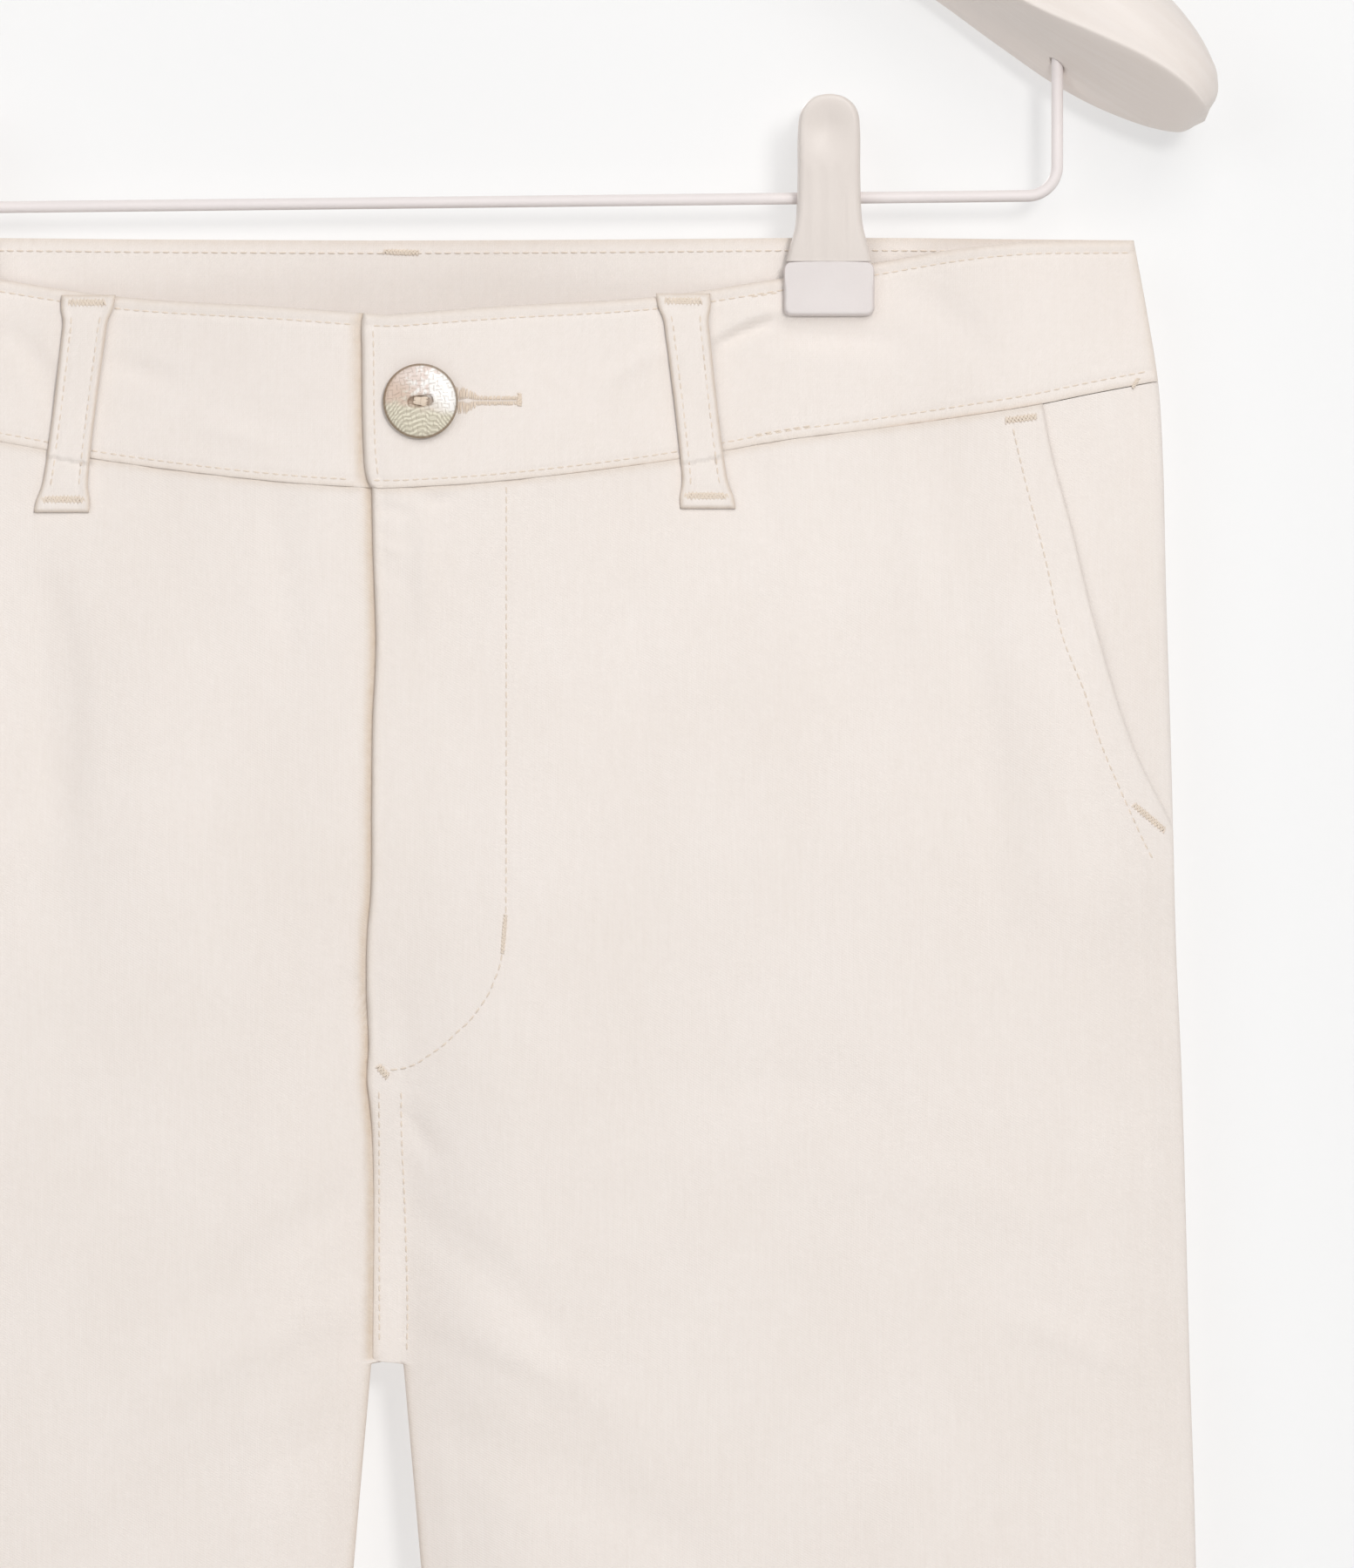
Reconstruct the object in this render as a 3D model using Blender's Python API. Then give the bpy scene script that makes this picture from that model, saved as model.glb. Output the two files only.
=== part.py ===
"""Cream chinos hung from a clip hanger, as separate sewn pieces on a plain wooden hanger.

Sizes are in millimetres. A depth is measured down from the top edge of the back waistband.
The finished meshes are in metres: the origin is the inner top of the hanger's hook, +Z is up,
+X is the viewer's right and the front of the garment faces -Y.
"""

import math
from collections import namedtuple

import bmesh
import bpy
from mathutils import Matrix, Vector
from mathutils.bvhtree import BVHTree

MM = 0.001

# Driving sizes of the garment
HOOK_ABOVE_WAIST = 215.0
CROTCH_DEPTH = 301.0
CROTCH_STEP = 1.2
HEM_DEPTH = 1041.0
FRONT_SEAM_X = -4.0
SEAM_GAP = 0.3
PANEL_WALL = 1.2
BAND_WALL = 2.0

# Fly and pocket layers, measured outward from the inner face of the plain panel
FLY_LIFT = 3.2
PLACKET_OFFSET = 1.8
PLACKET_WALL = 1.0
SHIELD_OFFSET = -1.5
SHIELD_WALL = 1.1
ZIP_OFFSET = 0.1
ZIP_TAPE_WALL = 0.8
ZIP_TEETH_HEIGHT = 0.6
POCKET_LIFT = 1.7
TAB_LIFT = 2.4

FLY_BOTTOM_DEPTH = 222.0
FLY_STITCH_X = 31.0
FLY_CURVE_DEPTH = 183.0
FLY_UNDERLAP_X = 3.0
SHIELD_LEFT_X = -14.0
SHIELD_RIGHT_X = 24.0
ZIP_LEFT_X = 3.5
ZIP_RIGHT_X = 18.0
ZIP_TOP_DEPTH = 71.0
ZIP_BOTTOM_DEPTH = 212.0
TAB_TOP_X = -6.7
TAB_BOTTOM_X = -3.3
TAB_UNDERLAP_X = 24.0
PLACKET_TOP_GAP = 2.0
PLACKET_END_GAP = 1.5
SHIELD_END_GAP = 6.0
POCKET_END_DEPTH = 157.0
FACING_START_DEPTH = 50.0
FACING_END_DEPTH = 165.0
FACING_UNDERLAP = 10.0

# How far past its layers each lifted stretch starts and ends its return to the plain surface
FLY_FADE_ACROSS = (14.0, 18.0)
FLY_FADE_DOWN = (1.0, 18.0)
POCKET_FADE_ACROSS = (6.0, 22.0)
POCKET_FADE_DOWN = (4.0, 28.0)
TAB_FADE_ACROSS = (8.0, 26.0)
FLY_TUCK = (22.0, 14.0)

# Fullness of the hanging cloth, front and back
CLIP_X = 118.0
CLIP_FLAT_HALF = 15.0
CLIP_FLAT_DEPTH = 23.0
CLIP_FULLNESS = 0.35
SIDE_FULLNESS = 4.0
DRAPE_END_DEPTH = 172.0
EDGE_ZONE = 32.0
CROTCH_BLEND_DEPTH = 150.0

# Grids of the walls
PANEL_COLUMNS = 16
UPPER_ROWS = 13
LEG_ROWS = 15
BAND_ROWS = 3
FRONT_BAND_COLUMNS = 22
BACK_BAND_COLUMNS = 36

# Button, and the thread lying in its recess
BUTTON_X = 9.1
BUTTON_DEPTH = 44.0
BUTTON_RADIUS = 10.0
BUTTON_SEAT_REACH = 9.0
THREAD_SHIFT = -0.6
THREAD_HEIGHT = 2.7
THREAD_TURN = 8.0
THREAD_HALF_SIZE = (2.6, 0.45, 1.1)

# Belt loops
LOOP_WIDTH = 12.4
LOOP_END_WIDTH = 15.0
LOOP_WALL = 1.6
LOOP_STANDOFF = 2.6
LOOP_SEAT = 0.45
LOOP_READ_ACROSS = 7.4
LOOP_READ_DOWN = 1.5

# Hanger
WIRE_RADIUS = 1.5
ROD_HEIGHT = 8.9
ROD_TILT = 0.011
ROD_SIDE_X = 179.0
ROD_BEND_RADIUS = 8.0
ROD_TOP_HEIGHT = 62.0
ROD_HOLE_FOOT = 30.0
HOOK_WIRE_RADIUS = 1.7
HOOK_RADIUS = 24.0
HOOK_STEM_FOOT = 128.0
HOOK_STEM_TOP = 158.0
HOOK_HOLE_TOP = 150.0
HOOK_BEND_PULL = 9.0
HOOK_START_ANGLE = -38.0
HOOK_END_ANGLE = 205.0
HOLE_CLEARANCE = 0.35
HOLE_OVERRUN = 1.0
CLIP_BARREL_RADIUS = 4.0
CLIP_BARREL_HALF = 7.0
PAD_TOP_DEPTH = 6.5
PAD_BOTTOM_DEPTH = 21.0
PAD_HALF_WIDTH = 12.2
PAD_THICKNESS = 3.4

EdgeRow = namedtuple("EdgeRow", "x top seam")
FRONT_EDGE = (
    EdgeRow(x=0.0, top=20.9, seam=67.3),
    EdgeRow(x=27.0, top=18.8, seam=65.6),
    EdgeRow(x=73.5, top=15.6, seam=59.9),
    EdgeRow(x=106.0, top=10.7, seam=54.2),
    EdgeRow(x=131.6, top=6.5, seam=51.0),
    EdgeRow(x=152.6, top=3.0, seam=48.1),
    EdgeRow(x=171.0, top=1.2, seam=45.3),
    EdgeRow(x=187.4, top=0.9, seam=41.9),
    EdgeRow(x=206.0, top=0.7, seam=38.3),
)
BACK_EDGE = (
    EdgeRow(x=0.0, top=0.6, seam=45.0),
    EdgeRow(x=60.0, top=0.4, seam=45.0),
    EdgeRow(x=120.0, top=0.0, seam=44.6),
    EdgeRow(x=171.0, top=0.3, seam=43.2),
    EdgeRow(x=190.0, top=0.6, seam=40.8),
    EdgeRow(x=206.0, top=0.7, seam=38.3),
)

OutlineRow = namedtuple("OutlineRow", "depth x")
SIDE_SEAM = (
    OutlineRow(depth=0.0, x=199.3),
    OutlineRow(depth=20.0, x=203.0),
    OutlineRow(depth=39.0, x=206.0),
    OutlineRow(depth=58.0, x=207.2),
    OutlineRow(depth=95.0, x=208.1),
    OutlineRow(depth=140.0, x=209.5),
    OutlineRow(depth=188.0, x=210.7),
    OutlineRow(depth=225.0, x=212.3),
    OutlineRow(depth=301.0, x=214.4),
    OutlineRow(depth=340.0, x=215.7),
    OutlineRow(depth=600.0, x=220.9),
    OutlineRow(depth=1041.0, x=231.0),
)
INSEAM = (
    OutlineRow(depth=301.0, x=4.3),
    OutlineRow(depth=355.0, x=9.0),
    OutlineRow(depth=700.0, x=37.5),
    OutlineRow(depth=1041.0, x=66.0),
)
POCKET_EDGE = (
    OutlineRow(depth=40.0, x=174.2),
    OutlineRow(depth=56.0, x=177.0),
    OutlineRow(depth=76.5, x=182.4),
    OutlineRow(depth=107.0, x=189.9),
    OutlineRow(depth=138.0, x=200.0),
    OutlineRow(depth=157.0, x=209.7),
)

FullnessRow = namedtuple("FullnessRow", "depth front back")
FULLNESS = (
    FullnessRow(depth=0.0, front=12.0, back=11.0),
    FullnessRow(depth=150.0, front=12.0, back=12.5),
    FullnessRow(depth=301.0, front=10.5, back=11.5),
    FullnessRow(depth=500.0, front=10.0, back=10.5),
    FullnessRow(depth=750.0, front=9.5, back=10.5),
    FullnessRow(depth=1041.0, front=10.5, back=11.0),
)
WAIST_BOW = {"front": 11.0, "back": 4.5}

Fold = namedtuple("Fold", "side x_top top x_end end half_width height")
FOLDS = (
    Fold(side="front", x_top=-98, top=60, x_end=-86, end=200, half_width=15, height=-3.4),
    Fold(side="front", x_top=-66, top=70, x_end=-60, end=230, half_width=20, height=1.6),
    Fold(side="front", x_top=66, top=75, x_end=58, end=250, half_width=17, height=-1.6),
    Fold(side="front", x_top=158, top=70, x_end=150, end=240, half_width=16, height=-1.5),
    Fold(side="front", x_top=-150, top=90, x_end=-150, end=330, half_width=20, height=-2.0),
    Fold(side="front", x_top=60, top=330, x_end=96, end=900, half_width=22, height=-2.8),
    Fold(side="front", x_top=150, top=360, x_end=178, end=1090, half_width=24, height=-2.2),
    Fold(side="front", x_top=-56, top=350, x_end=-100, end=1090, half_width=20, height=-2.6),
    Fold(side="front", x_top=-140, top=380, x_end=-180, end=980, half_width=24, height=-2.6),
    Fold(side="back", x_top=84, top=60, x_end=70, end=240, half_width=18, height=-3.0),
    Fold(side="back", x_top=-90, top=66, x_end=-76, end=270, half_width=20, height=-2.6),
    Fold(side="back", x_top=20, top=150, x_end=70, end=380, half_width=18, height=-3.0),
    Fold(side="back", x_top=-22, top=160, x_end=-80, end=400, half_width=18, height=-2.6),
    Fold(side="back", x_top=140, top=350, x_end=160, end=1000, half_width=24, height=-2.6),
    Fold(side="back", x_top=72, top=420, x_end=120, end=1090, half_width=20, height=-2.0),
    Fold(side="back", x_top=-130, top=370, x_end=-150, end=1090, half_width=22, height=-2.8),
)
SIDE_SIGN = {"front": -1.0, "back": 1.0}

LoopRow = namedtuple("LoopRow", "name side x_top top x_end end")
BELT_LOOPS = (
    LoopRow(name="belt_loop_front_left", side="front", x_top=-79.7, top=15.4, x_end=-86.9, end=73.5),
    LoopRow(name="belt_loop_front_right", side="front", x_top=79.0, top=15.0, x_end=85.7, end=72.5),
    LoopRow(name="belt_loop_back_left", side="back", x_top=-152.0, top=1.5, x_end=-153.0, end=53.0),
    LoopRow(name="belt_loop_back_right", side="back", x_top=152.0, top=1.5, x_end=153.0, end=53.0),
    LoopRow(name="belt_loop_back_centre", side="back", x_top=3.7, top=1.5, x_end=3.7, end=54.0),
)

StripRow = namedtuple("StripRow", "along offset widen")
LOOP_PROFILE = (
    StripRow(along=0.0, offset=0.0, widen=1.0),
    StripRow(along=0.07, offset=0.05, widen=1.0),
    StripRow(along=0.12, offset=0.9, widen=0.2),
    StripRow(along=0.2, offset=1.0, widen=0.0),
    StripRow(along=0.35, offset=1.0, widen=0.0),
    StripRow(along=0.5, offset=1.0, widen=0.0),
    StripRow(along=0.65, offset=1.0, widen=0.0),
    StripRow(along=0.8, offset=1.0, widen=0.0),
    StripRow(along=0.88, offset=0.9, widen=0.2),
    StripRow(along=0.93, offset=0.05, widen=1.0),
    StripRow(along=1.0, offset=0.0, widen=1.0),
)

ArmRow = namedtuple("ArmRow", "x height forward tall deep ridge")
ARM_ROWS = (
    ArmRow(x=0.0, height=126.0, forward=-4.0, tall=0.66, deep=0.62, ridge=-3.6),
    ArmRow(x=40.0, height=123.5, forward=-4.0, tall=0.66, deep=0.64, ridge=-3.6),
    ArmRow(x=80.0, height=114.5, forward=-3.0, tall=0.74, deep=0.72, ridge=-4.2),
    ArmRow(x=120.0, height=99.5, forward=-1.0, tall=0.86, deep=0.86, ridge=-5.0),
    ArmRow(x=155.0, height=80.2, forward=2.0, tall=0.97, deep=0.98, ridge=-5.6),
    ArmRow(x=175.0, height=66.8, forward=3.5, tall=1.0, deep=1.0, ridge=-4.9),
    ArmRow(x=191.0, height=55.8, forward=5.0, tall=0.95, deep=1.0, ridge=-1.3),
    ArmRow(x=204.0, height=46.5, forward=6.0, tall=0.77, deep=0.92, ridge=1.5),
    ArmRow(x=212.0, height=40.5, forward=6.5, tall=0.52, deep=0.78, ridge=2.3),
    ArmRow(x=217.0, height=36.0, forward=6.5, tall=0.28, deep=0.55, ridge=1.4),
    ArmRow(x=219.3, height=34.0, forward=6.5, tall=0.12, deep=0.3, ridge=0.6),
)
ArmPoint = namedtuple("ArmPoint", "depthwise up with_ridge")
ARM_SECTION = (
    ArmPoint(depthwise=3, up=19, with_ridge=0),
    ArmPoint(depthwise=-6, up=19, with_ridge=0),
    ArmPoint(depthwise=-14, up=16, with_ridge=0),
    ArmPoint(depthwise=-19, up=9, with_ridge=0),
    ArmPoint(depthwise=-20, up=1.2, with_ridge=1),
    ArmPoint(depthwise=-18, up=-2, with_ridge=1),
    ArmPoint(depthwise=-2, up=-17, with_ridge=0),
    ArmPoint(depthwise=6, up=-19, with_ridge=0),
    ArmPoint(depthwise=13, up=-16, with_ridge=0),
    ArmPoint(depthwise=16, up=-6, with_ridge=0),
    ArmPoint(depthwise=15, up=6, with_ridge=0),
    ArmPoint(depthwise=10, up=15, with_ridge=0),
)

ButtonRow = namedtuple("ButtonRow", "radius height")
BUTTON_PROFILE = (
    ButtonRow(radius=0.0, height=0.0),
    ButtonRow(radius=7.4, height=0.0),
    ButtonRow(radius=9.6, height=0.8),
    ButtonRow(radius=BUTTON_RADIUS, height=1.5),
    ButtonRow(radius=9.7, height=2.1),
    ButtonRow(radius=7.6, height=2.8),
    ButtonRow(radius=4.6, height=3.2),
    ButtonRow(radius=3.9, height=2.9),
    ButtonRow(radius=3.2, height=2.0),
    ButtonRow(radius=0.0, height=1.9),
)

JawRow = namedtuple("JawRow", "height half_width near far")
JAW_ROWS = (
    JawRow(height=38.0, half_width=2.6, near=11.2, far=13.0),
    JawRow(height=36.8, half_width=5.2, near=10.6, far=13.6),
    JawRow(height=33.5, half_width=7.6, near=9.9, far=13.4),
    JawRow(height=29.0, half_width=8.4, near=8.9, far=12.4),
    JawRow(height=18.0, half_width=8.5, near=6.4, far=10.2),
    JawRow(height=10.0, half_width=8.6, near=4.4, far=9.0),
    JawRow(height=4.0, half_width=9.6, near=4.4, far=8.2),
    JawRow(height=-2.5, half_width=11.2, near=3.4, far=7.0),
    JawRow(height=-6.2, half_width=11.9, near=2.9, far=6.2),
)

# Colours are RGB, then roughness and metallic value
Finish = namedtuple("Finish", "red green blue roughness metallic")
FINISHES = {
    "cloth": Finish(red=0.85, green=0.78, blue=0.73, roughness=0.85, metallic=0.0),
    "band_cloth": Finish(red=0.86, green=0.79, blue=0.73, roughness=0.85, metallic=0.0),
    "shell": Finish(red=0.72, green=0.68, blue=0.60, roughness=0.25, metallic=0.1),
    "thread": Finish(red=0.78, green=0.68, blue=0.56, roughness=0.8, metallic=0.0),
    "zip": Finish(red=0.82, green=0.76, blue=0.70, roughness=0.6, metallic=0.0),
    "wood": Finish(red=0.78, green=0.71, blue=0.66, roughness=0.6, metallic=0.0),
    "coated_wire": Finish(red=0.84, green=0.80, blue=0.79, roughness=0.4, metallic=0.0),
    "clip_plastic": Finish(red=0.80, green=0.74, blue=0.71, roughness=0.35, metallic=0.0),
    "clip_rubber": Finish(red=0.78, green=0.73, blue=0.70, roughness=0.7, metallic=0.0),
}


def clear_scene():
    """Remove whatever the opened file already holds."""
    for thing in list(bpy.data.objects):
        bpy.data.objects.remove(thing, do_unlink=True)


def clamp(value, low=0.0, high=1.0):
    return max(low, min(high, value))


def lerp(start, end, share):
    return start + (end - start) * share


def smooth(value):
    """Ease from 0 to 1 with level ends."""
    share = clamp(value)
    return share * share * (3.0 - 2.0 * share)


def read_curve(rows, key, column, at):
    """Read a table's column at a key value, on a smooth curve through its rows."""
    keys = [getattr(row, key) for row in rows]
    values = [getattr(row, column) for row in rows]
    if at <= keys[0]:
        return values[0]
    if at >= keys[-1]:
        return values[-1]
    cell = max(i for i in range(len(keys) - 1) if keys[i] <= at)
    chords = [(values[i + 1] - values[i]) / (keys[i + 1] - keys[i]) for i in range(len(keys) - 1)]
    before = chords[max(cell - 1, 0)]
    here = chords[cell]
    after = chords[min(cell + 1, len(chords) - 1)]
    slope_in = 0.5 * (before + here)
    slope_out = 0.5 * (here + after)
    span = keys[cell + 1] - keys[cell]
    t = (at - keys[cell]) / span
    rise = values[cell] * (2 * t**3 - 3 * t**2 + 1) + values[cell + 1] * (3 * t**2 - 2 * t**3)
    return rise + span * (slope_in * (t**3 - 2 * t**2 + t) + slope_out * (t**3 - t**2))


def side_x(depth):
    return read_curve(SIDE_SEAM, "depth", "x", depth)


def inseam_x(depth):
    return read_curve(INSEAM, "depth", "x", depth)


def edge_depth(side, column, x):
    """Depth of the waistband's top or seam edge at a place across the garment."""
    rows = FRONT_EDGE if side == "front" else BACK_EDGE
    return read_curve(rows, "x", column, abs(x))


def pocket_x(depth):
    """Half-width of the front panel's outer edge: the slanted pocket edge, then the side seam."""
    if depth >= POCKET_END_DEPTH:
        return side_x(depth)
    return min(read_curve(POCKET_EDGE, "depth", "x", depth), side_x(depth))


def waist_fullness(side, x, depth):
    """Bow of the waist between the clips, flat under each clip, slightly full beside it."""
    reach = abs(x)
    inner = CLIP_X - CLIP_FLAT_HALF
    outer = CLIP_X + CLIP_FLAT_HALF
    if reach < inner:
        return CLIP_FULLNESS + WAIST_BOW[side] * math.cos(0.5 * math.pi * reach / inner) ** 2
    if reach <= outer:
        return CLIP_FULLNESS
    share = clamp((reach - outer) / (side_x(depth) - outer))
    return CLIP_FULLNESS * (1.0 - share) + SIDE_FULLNESS * math.sin(math.pi * share) ** 2


def fold_height(side, x, depth):
    """Sum of the soft folds that cross this place: negative heights are troughs."""
    total = 0.0
    for fold in FOLDS:
        if fold.side != side:
            continue
        share = (depth - fold.top) / (fold.end - fold.top)
        if not 0.0 < share < 1.0:
            continue
        centre = lerp(fold.x_top, fold.x_end, share)
        across = (x - centre) / fold.half_width
        total += fold.height * math.sin(math.pi * share) * math.exp(-across * across)
    return total


def hip_fullness(side, x, depth):
    """Lens-shaped fullness of the hips and of each leg, closing at the seams."""
    outer = math.sin(0.5 * math.pi * clamp((side_x(depth) - abs(x)) / EDGE_ZONE))
    inner = math.sin(0.5 * math.pi * clamp((abs(x) - inseam_x(depth)) / EDGE_ZONE))
    closing = smooth((depth - CROTCH_BLEND_DEPTH) / (CROTCH_DEPTH - 4.0 - CROTCH_BLEND_DEPTH))
    envelope = outer * (1.0 - closing * (1.0 - inner))
    return envelope * (read_curve(FULLNESS, "depth", side, depth) + fold_height(side, x, depth))


def fullness(side, x, depth):
    share = smooth((depth - CLIP_FLAT_DEPTH) / (DRAPE_END_DEPTH - CLIP_FLAT_DEPTH))
    return lerp(waist_fullness(side, x, depth), hip_fullness(side, x, depth), share)


def cloth_point(side, x, depth, outward=0.0):
    """A point of the garment in metres, moved outward from the inner face of the plain panel."""
    y = SIDE_SIGN[side] * (0.5 * SEAM_GAP + fullness(side, x, depth) + outward)
    return Vector((x, y, -HOOK_ABOVE_WAIST - depth)) * MM


def fade(beyond, start_and_length):
    """Fall from 1 to 0 over a length that starts some way beyond an edge."""
    start, length = start_and_length
    return 1.0 - smooth((beyond - start) / length)


def fly_lift(x, depth):
    """How far the fly's layers carry the right front panel outward."""
    across = fade(x - FLY_STITCH_X, FLY_FADE_ACROSS)
    return FLY_LIFT * across * fade(depth - FLY_BOTTOM_DEPTH, FLY_FADE_DOWN)


def pocket_lift(x, depth):
    """How far the pocket facing carries the front panel outward beside the slanted edge."""
    across = fade(pocket_x(depth) - abs(x) - FACING_UNDERLAP, POCKET_FADE_ACROSS)
    return POCKET_LIFT * across * fade(depth - FACING_END_DEPTH, POCKET_FADE_DOWN)


def tab_lift(x):
    """How far the left waistband's underlap carries the right waistband outward."""
    return TAB_LIFT * fade(x - TAB_UNDERLAP_X, TAB_FADE_ACROSS)


def give_material(thing, finish_name):
    """Each object has its own material with the part's colour."""
    finish = FINISHES[finish_name]
    material = bpy.data.materials.new(thing.name)
    material.use_nodes = True
    shader = material.node_tree.nodes["Principled BSDF"]
    shader.inputs["Base Color"].default_value = (finish.red, finish.green, finish.blue, 1.0)
    shader.inputs["Roughness"].default_value = finish.roughness
    shader.inputs["Metallic"].default_value = finish.metallic
    thing.data.materials.append(material)


def add_mesh(name, mesh, finish_name):
    """Turn a closed bmesh in metres into a named, smoothly shaded object."""
    bmesh.ops.recalc_face_normals(mesh, faces=mesh.faces[:])
    data = bpy.data.meshes.new(name)
    mesh.to_mesh(data)
    mesh.free()
    data.shade_smooth()
    data.set_sharp_from_angle(angle=math.radians(40.0))
    thing = bpy.data.objects.new(name, data)
    bpy.context.scene.collection.objects.link(thing)
    give_material(thing, finish_name)
    return thing


def add_wall(name, columns, rows, place, finish_name):
    """Make a wall from a grid: place(column, row, outer) gives each point of its two faces."""
    mesh = bmesh.new()
    bmesh.ops.create_grid(mesh, x_segments=columns, y_segments=rows, size=0.5)
    grown = bmesh.ops.extrude_face_region(mesh, geom=mesh.faces[:])
    outer = {part for part in grown["geom"] if isinstance(part, bmesh.types.BMVert)}
    for vert in mesh.verts:
        column = round((vert.co.x + 0.5) * columns)
        row = round((vert.co.y + 0.5) * rows)
        vert.co = place(column, row, vert in outer)
    return add_mesh(name, mesh, finish_name)


def add_loft(name, rings, finish_name):
    """Join a row of equal rings into one closed solid with flat ends."""
    mesh = bmesh.new()
    loops = []
    for ring in rings:
        verts = bmesh.ops.create_circle(mesh, segments=len(ring), radius=1.0)["verts"]
        for vert, point in zip(verts, ring):
            vert.co = point
        loops.append(verts)
    for first, second in zip(loops, loops[1:]):
        edges = {edge for vert in first for edge in vert.link_edges if edge.is_wire or edge.is_boundary}
        edges |= {edge for vert in second for edge in vert.link_edges}
        bmesh.ops.bridge_loops(mesh, edges=list(edges))
    mesh.faces.new(loops[0])
    mesh.faces.new(loops[-1])
    return add_mesh(name, mesh, finish_name)


def add_wire(name, points, radius, finish_name):
    """A round bar along a row of points, with closed ends."""
    curve = bpy.data.curves.new(name, "CURVE")
    curve.dimensions = "3D"
    curve.bevel_depth = radius * MM
    curve.bevel_resolution = 2
    curve.use_fill_caps = True
    spline = curve.splines.new("POLY")
    spline.points.add(len(points) - 1)
    for point, place in zip(spline.points, points):
        point.co = (*(Vector(place) * MM), 1.0)
    thing = bpy.data.objects.new(name, curve)
    bpy.context.scene.collection.objects.link(thing)
    give_material(thing, finish_name)
    return thing


def column_share(column, columns):
    """Spread of the panel's columns, closer together beside its two seams."""
    even = column / columns
    eased = 0.5 - 0.5 * math.cos(math.pi * even)
    return lerp(even, eased, 0.6)


def panel_place(side, hand, outer_edge, centre_edge, lift):
    """Return the place function of a leg panel, from waist seam to hem."""

    def place(column, row, outer):
        share = column_share(column, PANEL_COLUMNS)
        if row <= UPPER_ROWS:
            level = row / UPPER_ROWS
            depth = lerp(edge_depth(side, "seam", 0.9 * side_x(0.0)), CROTCH_DEPTH, level)
            for _ in range(6):
                edge_x = outer_edge(depth)
                top = edge_depth(side, "seam", edge_x) + 0.5 * SEAM_GAP
                depth = lerp(top, CROTCH_DEPTH, level)
            x = hand * lerp(inseam_x(CROTCH_DEPTH), edge_x, share)
            top = edge_depth(side, "seam", x) + 0.5 * SEAM_GAP
            depth = lerp(top, CROTCH_DEPTH, level)
            if column == 0:
                x = centre_edge(depth)
        else:
            start = CROTCH_DEPTH + CROTCH_STEP
            level = (row - UPPER_ROWS - 1) / LEG_ROWS
            depth = lerp(start, HEM_DEPTH, level)
            x = hand * lerp(inseam_x(depth), side_x(depth), share)
        outward = lift(x, depth) + (PANEL_WALL if outer else 0.0)
        return cloth_point(side, x, depth, outward)

    return place


def left_fly_edge(depth):
    """Centre edge of the left front: under the fly, then at the crotch seam."""
    above, length = FLY_TUCK
    tuck = fade(depth - FLY_BOTTOM_DEPTH, (-above, length))
    return lerp(FRONT_SEAM_X - 0.5 * SEAM_GAP, FLY_UNDERLAP_X, tuck)


def right_fly_edge(depth):
    return FRONT_SEAM_X + 0.5 * SEAM_GAP


def add_panels():
    """The four leg panels."""
    rows = UPPER_ROWS + 1 + LEG_ROWS
    add_wall("front_left", PANEL_COLUMNS, rows,
             panel_place("front", -1.0, pocket_x, left_fly_edge, pocket_lift), "cloth")
    add_wall("front_right", PANEL_COLUMNS, rows,
             panel_place("front", 1.0, pocket_x, right_fly_edge,
                         lambda x, depth: max(pocket_lift(x, depth), fly_lift(x, depth))), "cloth")
    add_wall("back_left", PANEL_COLUMNS, rows,
             panel_place("back", -1.0, side_x, lambda depth: -0.5 * SEAM_GAP,
                         lambda x, depth: 0.0), "cloth")
    add_wall("back_right", PANEL_COLUMNS, rows,
             panel_place("back", 1.0, side_x, lambda depth: 0.5 * SEAM_GAP,
                         lambda x, depth: 0.0), "cloth")


def band_place(side, columns, start, end, lift):
    """Return the place function of a waistband between two edges across the garment."""

    def place(column, row, outer):
        down = row / BAND_ROWS
        share = column / columns
        x = lerp(start(down), end(down), share)
        top = edge_depth(side, "top", x)
        seam = edge_depth(side, "seam", x) - 0.5 * SEAM_GAP
        depth = lerp(top, seam, down)
        outward = lift(x) + (BAND_WALL if outer else 0.0)
        return cloth_point(side, x, depth, outward)

    return place


def side_edge(hand):
    """Waistband's edge at the side seam, from its top to its seam."""
    return lambda down: hand * side_x(lerp(0.7, 38.2, down))


def add_waistbands():
    """The two front waistbands, right over left, and the back one."""
    add_wall("waistband_front_left", FRONT_BAND_COLUMNS, BAND_ROWS,
             band_place("front", FRONT_BAND_COLUMNS, side_edge(-1.0), lambda down: TAB_UNDERLAP_X,
                        lambda x: 0.0), "band_cloth")
    add_wall("waistband_front_right", FRONT_BAND_COLUMNS, BAND_ROWS,
             band_place("front", FRONT_BAND_COLUMNS, lambda down: lerp(TAB_TOP_X, TAB_BOTTOM_X, down),
                        side_edge(1.0), tab_lift), "band_cloth")
    add_wall("waistband_back", BACK_BAND_COLUMNS, BAND_ROWS,
             band_place("back", BACK_BAND_COLUMNS, side_edge(-1.0), side_edge(1.0),
                        lambda x: 0.0), "band_cloth")


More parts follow.
